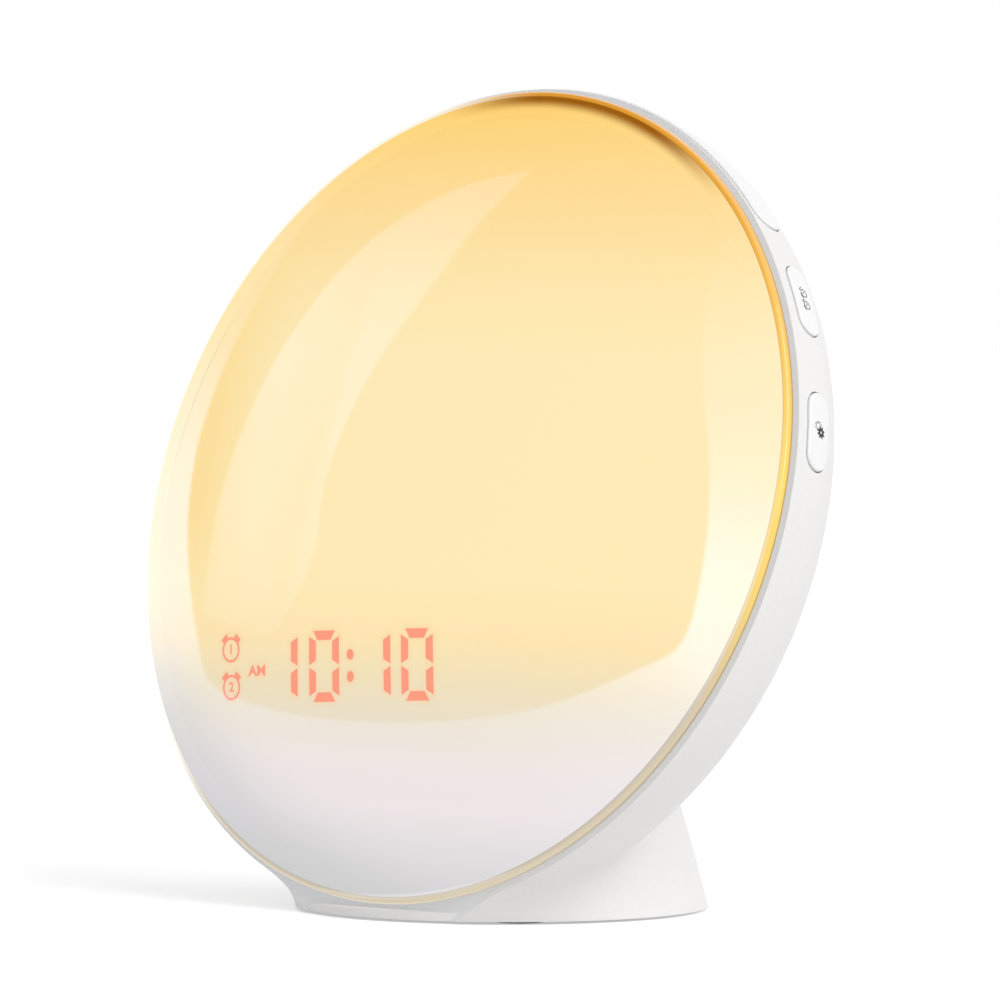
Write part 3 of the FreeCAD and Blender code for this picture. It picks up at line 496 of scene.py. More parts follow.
# Front lens. Clear cast acrylic with a polished dome. The lamps' light runs along the pane
# and leaves at its edge, which glows golden, and tan where it nears the unlit bottom.
LENS_RADIUS = 90.0
LENS_CROWN = 7.0
LENS_THICKNESS = 2.0
EDGE_HEIGHT = 2.1
EDGE_WIDTH = 2.2
EDGE_ROUND = 0.5
BACK_STEP = 0.45
ROUND_TURNS = [math.radians(turn) for turn in (22, 45, 68, 90)]
LENS_STEPS = 240
LENS_RINGS = 30
PANE_STACK_IOR = 1.85       # stands for the gloss of the pane's two faces and of the sheet
RIM_START = 84.6            # from here out the face's glow and its painted shade are painted on the pane, which hides the sheet behind
EDGE_START = (88.7, 88.95)
EDGE_GOLD = ((-90, "c9bba0"), (-45, "c9b998"), (-36, "d6bd84"), (-22, "ecc95e"), (5, "ffd24e"),
             (40, "f9bf45"), (70, "eba83a"), (90, "dd9830"))
EDGE_DARK = ((-90, "a0947e"), (-45, "9c8c72"), (-22, "b78f3c"), (40, "a9782a"), (90, "8a5214"))


def turned_form(form, profile, steps):
    """Spins an outline of (radius, height) about the axis; ends on the axis are closed."""
    rings = []
    for radius, height in profile:
        places = round_outline(0, 0, radius, radius, steps) if radius else [(0, 0)]
        rings.append([form.verts.new((x, y, height)) for x, y in places])
    for low, high in zip(rings, rings[1:]):
        for i in range(steps):
            j = (i + 1) % steps
            quad = [low[i % len(low)], low[j % len(low)], high[j % len(high)], high[i % len(high)]]
            form.faces.new(list(dict.fromkeys(quad)))


def mesh_of(form, name):
    """Turns a finished form into a mesh."""
    mesh = bpy.data.meshes.new(name)
    form.to_mesh(mesh)
    form.free()
    return mesh


def dome_profile(reach, crown, rim_radius, rim):
    """Points of a dome's outline, from its crown out to a reach."""
    return [(reach * i / LENS_RINGS, dome_height(reach * i / LENS_RINGS, 0, crown, rim_radius, rim))
            for i in range(LENS_RINGS + 1)]


inner = LENS_RADIUS - EDGE_WIDTH
corner = LENS_RADIUS - EDGE_ROUND
low_corner = EDGE_ROUND - EDGE_HEIGHT
profile = dome_profile(corner, LENS_CROWN, LENS_RADIUS, 0)
high_corner = profile[-1][1] - EDGE_ROUND
profile += [(corner + EDGE_ROUND * math.sin(t), high_corner + EDGE_ROUND * math.cos(t)) for t in ROUND_TURNS]
profile += [(corner + EDGE_ROUND * math.cos(t), low_corner - EDGE_ROUND * math.sin(t))
            for t in (0, *ROUND_TURNS)]
profile += [(inner, -EDGE_HEIGHT), (inner, BACK_STEP - EDGE_HEIGHT)]
profile += dome_profile(inner, LENS_CROWN - LENS_THICKNESS, inner, BACK_STEP - EDGE_HEIGHT)[-2::-1]
form = bmesh.new()
turned_form(form, profile, LENS_STEPS)
bmesh.ops.recalc_face_normals(form, faces=form.faces)
lens_mesh = mesh_of(form, "front_lens_pane")
lens_mesh.shade_smooth()
lens_mesh.set_sharp_from_angle(angle=math.radians(35))

acrylic, tree, shader = new_material("polished_clear_acrylic", "ffffff", 0.03, IOR=PANE_STACK_IOR,
                                     Emission_Strength=1.0)
x, y, z, radius = face_place(tree)
edge_dark = ramp(tree, y, -90, 90, EDGE_DARK)
inner_line = maths(tree, "MULTIPLY", near(tree, radius, 88.85, 0.03, 0.22), 0.6)
outer_line = fade(tree, z, -1.15, -1.6)
edge_gold = mix_colour(tree, maths(tree, "MAXIMUM", inner_line, outer_line),
                       ramp(tree, y, -90, 90, EDGE_GOLD), edge_dark)
# Towards the left the rim is painted white, a painted reflection of the bright room, with a grey line of
# painted shade at its outer edge.
painted_rim_light_and_shade = mix_colour(tree, fade(tree, radius, 89.72, 89.9), "fbf6e4", "b9b7b3")
toward_right = fade(tree, maths(tree, "ADD", x, maths(tree, "MULTIPLY", y, -0.3)), -58, -22)
edge_colour = mix_colour(tree, toward_right, painted_rim_light_and_shade, edge_gold)
# Outside RIM_START the pane carries the face's glow, painted shade included, as its own emission.
painted_rim_glow = face_glow(tree, x, y, radius)
on_edge = fade(tree, radius, *EDGE_START)
# Inside the rim the pane is clear under its mirror; its inner side lets all light pass.
front = maths(tree, "SUBTRACT", 1.0, add_node(tree, "ShaderNodeNewGeometry").outputs["Backfacing"])
mirror = add_node(tree, "ShaderNodeFresnel", {"IOR": PANE_STACK_IOR}).outputs[0]
solid = maths(tree, "GREATER_THAN", radius, RIM_START)
cover = maths(tree, "MULTIPLY", maths(tree, "MAXIMUM", mirror, solid), front)
tree.links.new(mix_colour(tree, solid, "ffffff", "0a0908"), shader.inputs["Base Color"])
tree.links.new(maths(tree, "SUBTRACT", 1.0, solid), shader.inputs["Metallic"])
rim_colour = mix_colour(tree, on_edge, painted_rim_glow, edge_colour)
tree.links.new(mix_colour(tree, solid, "000000", rim_colour), shader.inputs["Emission Color"])
clear = add_node(tree, "ShaderNodeBsdfTransparent")
layered = add_node(tree, "ShaderNodeMixShader", {0: cover, 1: clear.outputs[0], 2: shader.outputs[0]})
tree.links.new(layered.outputs[0], tree.nodes["Material Output"].inputs["Surface"])
lens_mesh.materials.append(acrylic)
lens_pane = face_piece("front_lens_pane", lens_mesh, "clock")
lens_pane.visible_diffuse = False
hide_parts("front_lens")


# Studio cards. The dome mirrors two shapes that stand a metre off in front and to the left:
# a long crescent, and the edge of a bright panel that wraps round its left, foot and right.
CARD_DISTANCE = 1.0
DAYLIGHT = "90bcff"         # against the warm face it reads as white
CRESCENT_LEVEL = 1.9
SURROUND_LEVEL = 3.6
SURROUND_BEHIND = 0.05
FLAG_BEHIND = 0.1
SURROUND_REACH = 1.9

# Outlines in mm across and up on the card, in the mirrored view; the surround's third
# number is its glow along the inner edge.
crescent_outer = ((89, 288), (158, 248), (214, 200), (258, 141), (288, 61), (297, -12), (293, -80),
                  (278, -135), (262, -175))
crescent_inner = ((150, -175), (128, -100), (148, -41), (154, 12), (148, 78), (130, 150), (114, 224))
surround = ((300, 330, 0.0), (352, 215, 0.02), (379, 77, 0.2), (381, -12, 0.6), (363, -78, 0.9),
            (327, -139, 0.9), (277, -199, 0.6), (233, -237, 0.35), (142, -243, 0.3), (38, -235, 0.26),
            (-57, -219, 0.26), (-161, -193, 0.28), (-259, -155, 0.4), (-348, -99, 0.6),
            (-400, -50, 1.05), (-383, 40, 0.95), (-344, 115, 0.5), (-289, 184, 0.25), (-241, 243, 0.12),
            (-204, 310, 0.05), (-190, 420, 0.0))

FACE_NORMAL = (HEAD.to_3x3() @ Vector((0, 0, 1))).normalized()
mirrored = (2 * FACE_NORMAL.dot(to_camera) * FACE_NORMAL - to_camera).normalized()
card_across = mirrored.cross(Vector((0, 0, 1))).normalized()
card_up = card_across.cross(mirrored).normalized()


def on_card(across, up, behind=0.0):
    """A point of a card, which stands where the face mirrors it towards the camera."""
    return FACE_CENTRE + mirrored * (CARD_DISTANCE + behind) + (card_across * across + card_up * up) * MM


def rounded(points, steps=5):
    """A smooth open line through points, by Catmull-Rom spans."""
    line = []
    for i in range(len(points) - 1):
        a, b, c, d = (Vector(points[min(max(k, 0), len(points) - 1)]) for k in (i - 1, i, i + 1, i + 2))
        for k in range(steps):
            t = k / steps
            line.append(0.5 * ((2 * b) + (c - a) * t + (2 * a - 5 * b + 4 * c - d) * t ** 2
                               + (3 * b - a - 3 * c + d) * t ** 3))
    return line + [Vector(points[-1])]


def studio_card(name, mesh, level):
    """A glowing card that shows in reflections only."""
    card = link(bpy.data.objects.new(name, mesh))
    material = bpy.data.materials.new(name)
    material.use_nodes = True
    tree = material.node_tree
    tree.nodes.clear()
    strength = add_node(tree, "ShaderNodeAttribute", attribute_name="level").outputs["Fac"]
    lamp = add_node(tree, "ShaderNodeEmission", {
        "Color": hex_colour(DAYLIGHT), "Strength": maths(tree, "MULTIPLY", strength, level)})
    clear = add_node(tree, "ShaderNodeBsdfTransparent")
    both = add_node(tree, "ShaderNodeAddShader", {0: lamp.outputs[0], 1: clear.outputs[0]})
    add_node(tree, "ShaderNodeOutputMaterial", {"Surface": both.outputs[0]})
    mesh.materials.append(material)
    show_in_gloss(card)


def show_in_gloss(card):
    """Hides a studio piece from everything but reflections."""
    card.visible_camera = card.visible_diffuse = card.visible_shadow = card.visible_transmission = False


def add_levels(mesh, levels):
    """Stores how brightly each corner of a card glows."""
    stored = mesh.attributes.new("level", "FLOAT", "POINT")
    for corner, level in zip(stored.data, levels):
        corner.value = level


def crescent_glow(height):
    """Strongest at the middle of the crescent, weaker towards both tips."""
    if height > 0:
        return 0.72 - 0.25 * height / 288
    return 0.72 + 0.57 * height / 175


outline = rounded(crescent_outer) + rounded(crescent_inner)
crescent_mesh = new_mesh("crescent_card", [on_card(p.x, p.y) for p in outline], [list(range(len(outline)))])
add_levels(crescent_mesh, [crescent_glow(p.y) for p in outline])
studio_card("crescent_card", crescent_mesh, CRESCENT_LEVEL)

near_edge = rounded(surround)
far_edge = [Vector((p.x * SURROUND_REACH, p.y * SURROUND_REACH, p.z)) for p in near_edge]
count = len(near_edge)
surround_mesh = new_mesh("surround_card", [on_card(p.x, p.y, SURROUND_BEHIND) for p in near_edge + far_edge],
                         [(i, i + 1, count + i + 1, count + i) for i in range(count - 1)])
add_levels(surround_mesh, [max(p.z, 0.0) for p in near_edge + far_edge])
studio_card("surround_card", surround_mesh, SURROUND_LEVEL)

# A black flag stands behind both cards, so that the face keeps its depth of colour.
flag_mesh = new_mesh("black_flag", [on_card(p.x, p.y, FLAG_BEHIND) for p in far_edge], [list(range(count))])
velvet, tree, shader = new_material("black_velvet", "000000", 1.0, Specular_IOR_Level=0.0)
flag_mesh.materials.append(velvet)
flag = link(bpy.data.objects.new("black_flag", flag_mesh))
show_in_gloss(flag)


# Rear housing, frame, base plate, door, grille and reflector. Injection moulded ABS with a
# satin skin. The mould's spark grain is too fine to show, so a 0.8 mm one stands for it:
# it softens the highlights and keeps the white from looking flat.
def grain(tree, shader, cell_mm, colours, bump_mm, spread):
    """Fine surface grain: one noise drives colour, roughness and bump."""
    place = add_node(tree, "ShaderNodeTexCoord")
    noise = add_node(tree, "ShaderNodeTexNoise", {
        "Vector": place.outputs["Object"], "Scale": 1 / (cell_mm * MM), "Detail": 3.0})
    tree.links.new(mix_colour(tree, noise.outputs["Fac"], *colours), shader.inputs["Base Color"])
    rough = shader.inputs["Roughness"].default_value
    tree.links.new(fade(tree, noise.outputs["Fac"], 0.25, 0.75, rough - spread, rough + spread),
                   shader.inputs["Roughness"])
    bump = add_node(tree, "ShaderNodeBump", {
        "Height": noise.outputs["Fac"], "Strength": 0.4, "Distance": bump_mm * MM})
    tree.links.new(bump.outputs["Normal"], shader.inputs["Normal"])


satin_abs, tree, shader = new_material("satin_moulded_abs", "f3f2f1", 0.42)
grain(tree, shader, 0.8, ("f0efee", "f6f5f4"), 0.006, 0.05)
paint(satin_abs, "rear_housing", "front_frame", "base_plate", "battery_door", "speaker_grille",
      "light_reflector")


# Keys and snooze bar. The same ABS from a polished mould, brighter and glossier, so their
# rounded edges catch a thin light line.
polished_abs, tree, shader = new_material("polished_moulded_abs", "fafafa", 0.24)
grain(tree, shader, 2.0, ("f8f8f8", "fcfcfc"), 0.003, 0.03)
paint(polished_abs, "alarm_button", "settings_button", "light_button", "radio_button", "snooze_bar")


# Marks on the keys. Pad-printed black ink, 0.04 mm thick: two small alarm clocks, a pair of
# gears, a sun and radio waves. Each is drawn flat and laid on its key's rounded skin.
KEY_DEPTH = 9.0
KEY_PLACES = {"alarm": 60.25, "settings": 79.35, "light": -60.25, "radio": -79.35}  # from 12 o'clock
INK_THICKNESS = 0.04
PRINT_CLEARANCE = 0.01
GEAR_TEETH = 8
FINE_LINE = 0.24


def gear_outline(x, y, root, tip):
    """Outline of a toothed wheel, five points to a tooth."""
    points = []
    for i in range(GEAR_TEETH):
        for share, radius in ((0.0, root), (0.22, root), (0.32, tip), (0.68, tip), (0.78, root)):
            turn = 2 * math.pi * (i + share) / GEAR_TEETH
            points.append((x + radius * math.cos(turn), y + radius * math.sin(turn)))
    return points


def band_between(outer, inner):
    """Quads between two outlines of as many points."""
    count = len(outer)
    faces = [[i, (i + 1) % count, count + (i + 1) % count, count + i] for i in range(count)]
    return outer + inner, faces


def filled(points):
    """One face inside an outline."""
    return points, [list(range(len(points)))]


def ring_plate(x, y, half_width, half_height, width):
    """An oval ring."""
    return band_between(round_outline(x, y, half_width, half_height),
                        round_outline(x, y, half_width - width, half_height - width))


def bar(x, y, length, width, turn):
    """A short straight stroke about a point, its turn in degrees."""
    t = math.radians(turn)
    along = Vector((math.cos(t), math.sin(t))) * length / 2
    across = Vector((-math.sin(t), math.cos(t))) * width / 2
    middle = Vector((x, y))
    return filled([tuple(middle + a * along + b * across) for a, b in ((-1, -1), (1, -1), (1, 1), (-1, 1))])


def clock_mark(x, y, hour_turn):
    """A small alarm clock: oval case, two hands and a bell on either side."""
    return [ring_plate(x, y, 1.0, 1.15, 0.17), bar(x - 0.2, y, 0.5, 0.15, hour_turn),
            bar(x, y + 0.22, 0.15, 0.5, 0), arc_band(x, y, 1.45, FINE_LINE, 25, 70),
            arc_band(x, y, 1.45, FINE_LINE, 110, 155)]


def gear_marks():
    """A solid wheel with a round bore, and the thin outline of a second one behind it."""
    bore = round_outline(0.2, -0.25, 0.3, 0.3, 5 * GEAR_TEETH)
    return [band_between(gear_outline(0.2, -0.25, 0.95, 1.35), bore),
            band_between(gear_outline(-0.9, 0.75, 0.85, 1.15), gear_outline(-0.9, 0.75, 0.7, 1.0))]


def sun_mark():
    """A disc with eight rays."""
    rays = [bar(1.65 * math.cos(math.radians(t)), 1.65 * math.sin(math.radians(t)), 0.6, 0.22, t)
            for t in range(0, 360, 45)]
    return [filled(round_outline(0, 0, 0.85, 0.85))] + rays


def wave_mark():
    """A dot with three waves."""
    waves = [arc_band(-1.2, 0, radius, FINE_LINE, -50, 50) for radius in (1.1, 1.85, 2.6)]
    return [filled(round_outline(-1.2, 0, 0.35, 0.35))] + waves


key_marks = {"alarm": clock_mark(-1.5, 0.0, 30) + clock_mark(1.5, 0.0, 150), "settings": gear_marks(),
             "light": sun_mark(), "radio": wave_mark()}
ink, tree, shader = new_material("pad_printed_ink", "161616", 0.45)
grain(tree, shader, 0.5, ("101010", "1c1c1c"), 0.002, 0.05)
to_head = HEAD.inverted()
for key, plates in key_marks.items():
    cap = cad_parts[key + "_button"].data
    cap_corners = [to_head @ v.co / MM for v in cap.vertices]
    skin = BVHTree.FromPolygons(cap_corners, [p.vertices for p in cap.polygons])
    turn = math.radians(KEY_PLACES[key])
    out = Vector((math.sin(turn), math.cos(turn), 0))
    along = Vector((math.cos(turn), -math.sin(turn), 0))
    form = bmesh.new()
    for points, polygons in plates:
        corners = []
        for a, b in points:
            hit = skin.ray_cast(out * 100 + along * a + Vector((0, 0, b - KEY_DEPTH)), -out)[0]
            corners.append(form.verts.new(hit + out * PRINT_CLEARANCE))
        for polygon in polygons:
            form.faces.new([corners[i] for i in polygon])
    for face in form.faces:
        face.normal_update()
        if face.normal.dot(out) < 0:
            face.normal_flip()
    mesh = mesh_of(form, key + "_mark")
    mesh.materials.append(ink)
    mark = face_piece(key + "_mark", mesh, key + "_key")
    film = mark.modifiers.new("film", "SOLIDIFY")
    film.thickness, film.offset = INK_THICKNESS * MM, 1.0


# Screws. Zinc plated pan heads with a cross recess and a rolled thread, in deep wells in
# the back, under the feet and on the boards. A tree sets one screw at each CAD place.
HEAD_RADIUS = 2.25
HEAD_HEIGHT = 1.4
HEAD_IN_CAD = 1.5           # the CAD screws' heads are this high
SHANK_RADIUS = 0.95
SHANK_POINT = 0.8
RECESS_SIZE = (2.3, 0.55, 1.7)
SPUN_STEPS = 32
THREAD_TURNS = 7
THREAD_STEPS = 14           # points to a turn
THREAD_HEIGHT = 0.16
THREAD_HALF_WIDTH = 0.22
THREAD_TOP = 0.7
THREAD_ENDS = 1.6           # length of shank without thread

zinc, tree, shader = new_material("zinc_plated_steel", "b9bbbf", 0.32, Metallic=1.0)
grain(tree, shader, 0.9, ("a9acb1", "c9cbce"), 0.004, 0.08)


def add_thread(form, length):
    """Winds a tapering three-sided ridge round the shank."""
    count = THREAD_STEPS * THREAD_TURNS
    pitch = (length - THREAD_ENDS) / THREAD_TURNS
    last = None
    for i in range(count + 1):
        turn = 2 * math.pi * i / THREAD_STEPS
        height = -THREAD_TOP - pitch * i / THREAD_STEPS
        crest = SHANK_RADIUS + THREAD_HEIGHT * min(1, i / 5, (count - i) / 5 + 0.01)
        root = SHANK_RADIUS * 0.97
        ridge = [form.verts.new((r * math.cos(turn), r * math.sin(turn), height + h))
                 for r, h in ((root, THREAD_HALF_WIDTH), (crest, 0), (root, -THREAD_HALF_WIDTH))]
        if last:
            for k in range(3):
                form.faces.new((last[k], last[(k + 1) % 3], ridge[(k + 1) % 3], ridge[k]))
        else:
            form.faces.new(ridge)
        last = ridge
    form.faces.new(last[::-1])


def screw_object(name, length):
    """One screw in mm: its seat at height 0, its head above and its shank below."""
    form = bmesh.new()
    turned_form(form, [(0, -length), (SHANK_RADIUS * 0.45, -length), (SHANK_RADIUS, SHANK_POINT - length),
                       (SHANK_RADIUS, 0), (HEAD_RADIUS, 0), (HEAD_RADIUS, HEAD_HEIGHT * 0.45),
                       (HEAD_RADIUS * 0.93, HEAD_HEIGHT * 0.8), (HEAD_RADIUS * 0.74, HEAD_HEIGHT),
                       (0, HEAD_HEIGHT)], SPUN_STEPS)
    add_thread(form, length)
    bmesh.ops.recalc_face_normals(form, faces=form.faces)
    screw = link(bpy.data.objects.new(name, mesh_of(form, name)))
    form = bmesh.new()
    for turn in (0, 90):
        place = Matrix.Translation((0, 0, HEAD_HEIGHT)) @ Matrix.Rotation(math.radians(turn), 4, "Z")
        bmesh.ops.create_cube(form, size=1, matrix=place @ Matrix.Diagonal((*RECESS_SIZE, 1)))
    cutter = link(bpy.data.objects.new("cross", mesh_of(form, "cross")))
    cut = screw.modifiers.new("cross", "BOOLEAN")
    cut.object, cut.operation, cut.use_self = cutter, "DIFFERENCE", True
    bpy.context.view_layer.update()
    mesh = bpy.data.meshes.new_from_object(screw.evaluated_get(bpy.context.evaluated_depsgraph_get()))
    mesh.transform(Matrix.Scale(MM, 4))
    screw.modifiers.clear()
    screw.data = mesh
    bpy.data.objects.remove(cutter)
    return screw


setter = bpy.data.node_groups.new("set_screws", "GeometryNodeTree")
setter.interface.new_socket("Geometry", in_out="INPUT", socket_type="NodeSocketGeometry")
setter.interface.new_socket("Screw", in_out="INPUT", socket_type="NodeSocketObject")
setter.interface.new_socket("Metal", in_out="INPUT", socket_type="NodeSocketMaterial")
setter.interface.new_socket("Geometry", in_out="OUTPUT", socket_type="NodeSocketGeometry")
given = add_node(setter, "NodeGroupInput")
one = add_node(setter, "GeometryNodeObjectInfo", {"Object": given.outputs["Screw"]})
stand = add_node(setter, "GeometryNodeInputNamedAttribute", {"Name": "stand"}, data_type="FLOAT_VECTOR")
lean = add_node(setter, "FunctionNodeAlignEulerToVector", {"Vector": stand.outputs["Attribute"]}, axis="Z")
at_points = add_node(setter, "GeometryNodeInstanceOnPoints", {
    "Points": given.outputs["Geometry"], "Instance": one.outputs["Geometry"], "Rotation": lean.outputs[0]})
real = add_node(setter, "GeometryNodeRealizeInstances", {0: at_points.outputs["Instances"]})
plated = add_node(setter, "GeometryNodeSetMaterial", {
    "Geometry": real.outputs[0], "Material": given.outputs["Metal"]})
add_node(setter, "NodeGroupOutput", {"Geometry": plated.outputs["Geometry"]})


def islands(mesh):
    """Corner points of each loose part of a CAD mesh."""
    form = bmesh.new()
    form.from_mesh(mesh)
    bmesh.ops.remove_doubles(form, verts=form.verts, dist=1e-6)
    left, found = dict.fromkeys(form.verts), []
    while left:
        front, part = [left.popitem()[0]], []
        while front:
            vertex = front.pop()
            part.append(vertex.co.copy())
            for edge in vertex.link_edges:
                other = edge.other_vert(vertex)
                if other in left:
                    del left[other]
                    front.append(other)
        found.append(part)
    form.free()
    return found


def set_screws(node, axis):
    """Replaces one CAD group of screws, whose heads point along the axis."""
    seats = []
    for part in islands(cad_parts[node].data):
        heights = [co.dot(axis) for co in part]
        head_top = [co for co in part if co.dot(axis) > max(heights) - 0.1 * MM]
        seats.append(sum(head_top, Vector()) / len(head_top) - axis * HEAD_IN_CAD * MM)
        length = (max(heights) - min(heights)) / MM - HEAD_IN_CAD
    screw = screw_object(node + "_one", length)
    points = new_mesh(node, seats, [])
    stand = points.attributes.new("stand", "FLOAT_VECTOR", "POINT")
    for item in stand.data:
        item.vector = axis
    made = made_by(setter, points, node + "_threaded", screw=screw, metal=zinc)
    bpy.data.objects.remove(screw)
    made.shade_smooth()
    made.set_sharp_from_angle(angle=math.radians(35))
    piece = link(bpy.data.objects.new(node + "_threaded", made))
    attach(piece, "clock")
    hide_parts(node)


for node in ("frame_screws", "led_board_screws", "main_board_screws"):
    set_screws(node, -FACE_NORMAL)
set_screws("base_screws", Vector((0, 0, -1)))
set_screws("power_board_screws", Vector((0, 0, 1)))


# Rubber feet. Grey silicone, die cut and stuck over the screws; fine sanded grain, no gloss.
rubber, tree, shader = new_material("grey_silicone_rubber", "8c8b89", 0.85, Specular_IOR_Level=0.3)
grain(tree, shader, 0.5, ("838280", "959492"), 0.02, 0.05)
paint(rubber, "rubber_feet")


# Boards. Glass-epoxy with green solder mask over copper tracks 0.6 mm wide; the lamp board
# is white. The tracks show as a lighter green, slightly raised.
def solder_mask(name, mask, track, gloss):
    """A board's skin: the mask's colour, with tracks in a second one."""
    board, tree, shader = new_material(name, mask, gloss)
    place = add_node(tree, "ShaderNodeTexCoord")
    tracks = add_node(tree, "ShaderNodeTexVoronoi", {
        "Vector": place.outputs["Object"], "Scale": 1 / (5.0 * MM), "Randomness": 0.25}, distance="MANHATTAN")
    edge = near(tree, tracks.outputs["Distance"], 0.45, 0.03, 0.07)
    tree.links.new(mix_colour(tree, edge, mask, track), shader.inputs["Base Color"])
    bump = add_node(tree, "ShaderNodeBump", {"Height": edge, "Strength": 0.3, "Distance": 0.03 * MM})
    tree.links.new(bump.outputs["Normal"], shader.inputs["Normal"])
    return board


paint(solder_mask("green_solder_mask", "0f5a32", "1d7a47", 0.3), "main_board", "power_board", "display_board",
      "button_boards")
paint(solder_mask("white_solder_mask", "eceee9", "dfe2da", 0.35), "led_board")


# Moulded black nylon: switches, plungers, holder, jack and the display's block. Matt, with
# a 0.4 mm mould grain.
nylon, tree, shader = new_material("matt_black_nylon", "17171a", 0.55)
grain(tree, shader, 0.4, ("121214", "1e1e21"), 0.006, 0.06)
paint(nylon, "display_block", "alarm_plunger", "settings_plunger", "light_plunger", "radio_plunger",
      "snooze_plungers", "tact_switches", "cell_holder", "power_jack", "board_parts")


# Display strokes: red tinted epoxy, cast in the block's wells and lit from behind.
red_epoxy, tree, shader = new_material("red_cast_epoxy", "d8402e", 0.2, Emission_Strength=0.6)
grain(tree, shader, 0.7, ("cf3a29", "e24a36"), 0.002, 0.04)
shader.inputs["Emission Color"].default_value = hex_colour("ff5a44")
paint(red_epoxy, "display_segments")


# Lamps: a ceramic-white package with a phosphor window 3.4 mm across, 24 in three rings.
LAMP_RINGS = ((50.0, 12), (32.0, 8), (14.0, 4))
LAMP_SEAT = -19.5
LAMP_SIZE = 5.0
LAMP_HEIGHT = 1.4
LAMP_BODY_HEIGHT = 1.19     # the window stands on the package's body
LAMP_WINDOW_SIZE = 3.4
LAMP_BEVEL = 0.18

package, tree, shader = new_material("white_lamp_package", "f1efe8", 0.4)
grain(tree, shader, 0.4, ("eceae2", "f5f3ed"), 0.003, 0.05)
phosphor, tree, shader = new_material("yellow_phosphor_resin", "f2c34a", 0.3, Emission_Strength=0.8)
grain(tree, shader, 0.3, ("edb93c", "f6cf62"), 0.01, 0.05)
shader.inputs["Emission Color"].default_value = hex_colour("ffd98a")

form = bmesh.new()
for size, low, high, slot_index in ((LAMP_SIZE, 0, LAMP_BODY_HEIGHT, 0),
                                    (LAMP_WINDOW_SIZE, LAMP_BODY_HEIGHT, LAMP_HEIGHT, 1)):
    block_place = Matrix.Translation((0, 0, (low + high) / 2)) @ Matrix.Diagonal((size, size, high - low, 1))
    made = bmesh.ops.create_cube(form, size=1, matrix=block_place)["verts"]
    for face in {face for vertex in made for face in vertex.link_faces}:
        face.material_index = slot_index
bmesh.ops.bevel(form, geom=form.edges[:], offset=LAMP_BEVEL, segments=2, affect="EDGES")
lamp_mesh = mesh_of(form, "lamp")
lamp_mesh.materials.append(package)
lamp_mesh.materials.append(phosphor)
lamp = link(bpy.data.objects.new("lamp", lamp_mesh))

# The tree sets a lamp at each place. The lamp brings its two materials, so none is set here.
ring_tree = bpy.data.node_groups.new("lamp_rings", "GeometryNodeTree")
ring_tree.interface.new_socket("Geometry", in_out="INPUT", socket_type="NodeSocketGeometry")
ring_tree.interface.new_socket("Lamp", in_out="INPUT", socket_type="NodeSocketObject")
ring_tree.interface.new_socket("Geometry", in_out="OUTPUT", socket_type="NodeSocketGeometry")
given = add_node(ring_tree, "NodeGroupInput")
one = add_node(ring_tree, "GeometryNodeObjectInfo", {"Object": given.outputs["Lamp"]})
turn = add_node(ring_tree, "GeometryNodeInputNamedAttribute", {"Name": "turn"}, data_type="FLOAT_VECTOR")
at_points = add_node(ring_tree, "GeometryNodeInstanceOnPoints", {
    "Points": given.outputs["Geometry"], "Instance": one.outputs["Geometry"],
    "Rotation": turn.outputs["Attribute"]})
real = add_node(ring_tree, "GeometryNodeRealizeInstances", {0: at_points.outputs["Instances"]})
add_node(ring_tree, "NodeGroupOutput", {"Geometry": real.outputs[0]})

seats, turns = [], []
for ring_radius, count in LAMP_RINGS:
    for i in range(count):
        angle = 2 * math.pi * (i + 0.5) / count
        seats.append((ring_radius * math.sin(angle), ring_radius * math.cos(angle), LAMP_SEAT))
        turns.append((0, 0, -angle))
points = new_mesh("lamp_points", seats, [])
turn_data = points.attributes.new("turn", "FLOAT_VECTOR", "POINT")
for i, value in enumerate(turns):
    turn_data.data[i].vector = value
lamps = made_by(ring_tree, points, "phosphor_lamps", lamp=lamp)
bpy.data.objects.remove(lamp)
phosphor_lamps = face_piece("phosphor_lamps", lamps, "clock")
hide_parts("light_leds")


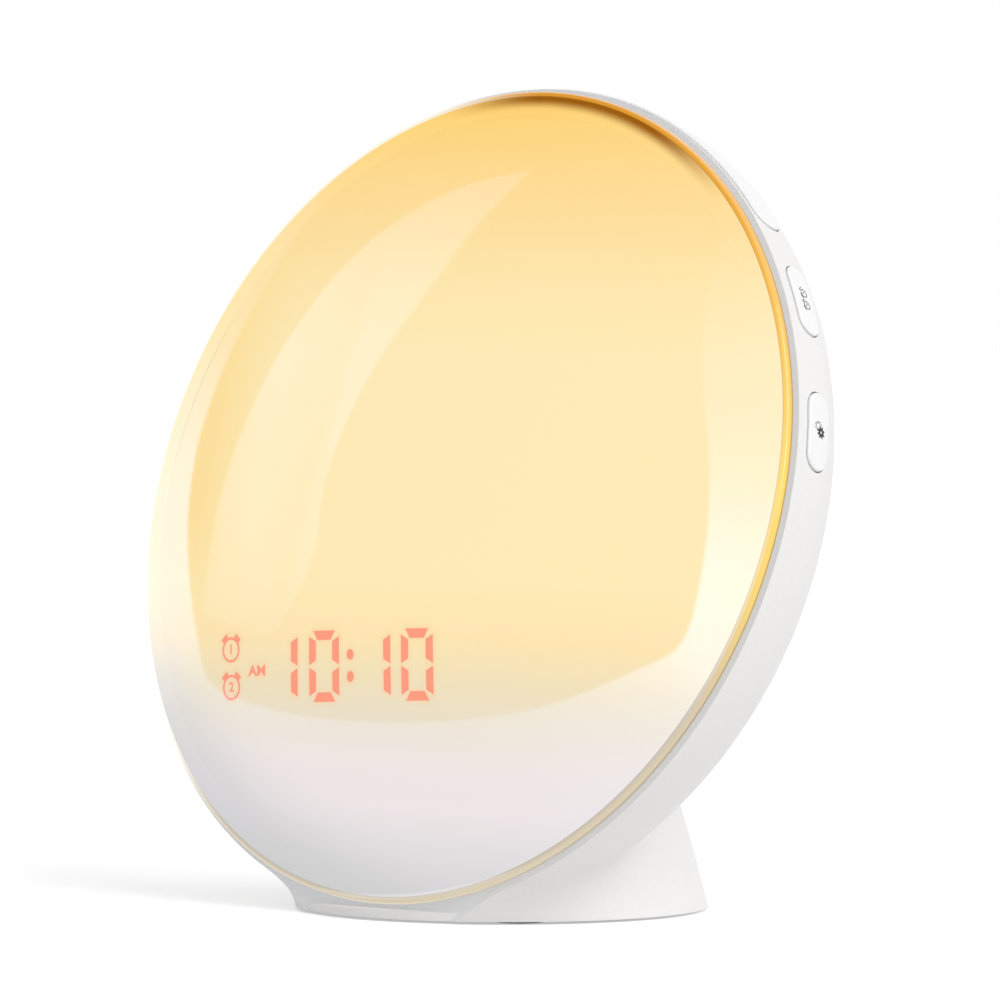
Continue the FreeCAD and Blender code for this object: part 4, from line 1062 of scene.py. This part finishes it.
# Loudspeaker: pressed black paper cone and cap, foam surround and gasket, grey ferrite ring
# in a zinc basket. Paper has soft fibres about 1 mm long.
paper, tree, shader = new_material("pressed_black_paper", "1b1b1b", 0.8, Specular_IOR_Level=0.25)
grain(tree, shader, 1.0, ("141414", "262626"), 0.03, 0.08)
paint(paper, "speaker_cone", "speaker_dust_cap")
foam, tree, shader = new_material("black_foam_rubber", "141414", 0.95, Specular_IOR_Level=0.2)
grain(tree, shader, 0.6, ("0d0d0d", "1f1f1f"), 0.06, 0.03)
paint(foam, "speaker_surround", "speaker_gasket")
ferrite, tree, shader = new_material("sintered_ferrite", "2c2c2f", 0.6)
grain(tree, shader, 0.5, ("252528", "353539"), 0.02, 0.08)
paint(ferrite, "speaker_magnet")
paint(zinc, "speaker_basket")


# Coin cell and its contact: a brushed stainless can and a nickel plated spring, brushed in
# lines about 0.15 mm apart, drawn at 0.5 mm to show.
steel, tree, shader = new_material("brushed_stainless_steel", "c4c5c8", 0.28, Metallic=1.0)
place = add_node(tree, "ShaderNodeTexCoord")
stretched = add_node(tree, "ShaderNodeMapping", {"Vector": place.outputs["Object"], "Scale": (0.05, 1, 1)})
lines = add_node(tree, "ShaderNodeTexNoise", {
    "Vector": stretched.outputs[0], "Scale": 1 / (0.5 * MM), "Detail": 2.0})
tree.links.new(mix_colour(tree, lines.outputs["Fac"], "b4b5b9", "d2d3d5"), shader.inputs["Base Color"])
tree.links.new(fade(tree, lines.outputs["Fac"], 0.3, 0.7, 0.22, 0.36), shader.inputs["Roughness"])
paint(steel, "coin_cell", "cell_contact")
brass, tree, shader = new_material("turned_brass", "d2ab5f", 0.22, Metallic=1.0)
grain(tree, shader, 0.4, ("c99f52", "dcb86f"), 0.003, 0.06)
paint(brass, "jack_pin")


# Spacers of natural nylon, and leads with soft red PVC insulation.
spacer, tree, shader = new_material("natural_nylon", "e3e0d6", 0.4)
grain(tree, shader, 0.9, ("dedbd0", "e8e5dc"), 0.004, 0.05)
paint(spacer, "board_spacers")
insulation, tree, shader = new_material("soft_red_pvc", "a3201c", 0.35)
grain(tree, shader, 0.8, ("951b18", "b02622"), 0.004, 0.06)
paint(insulation, "power_leads", "speaker_leads")
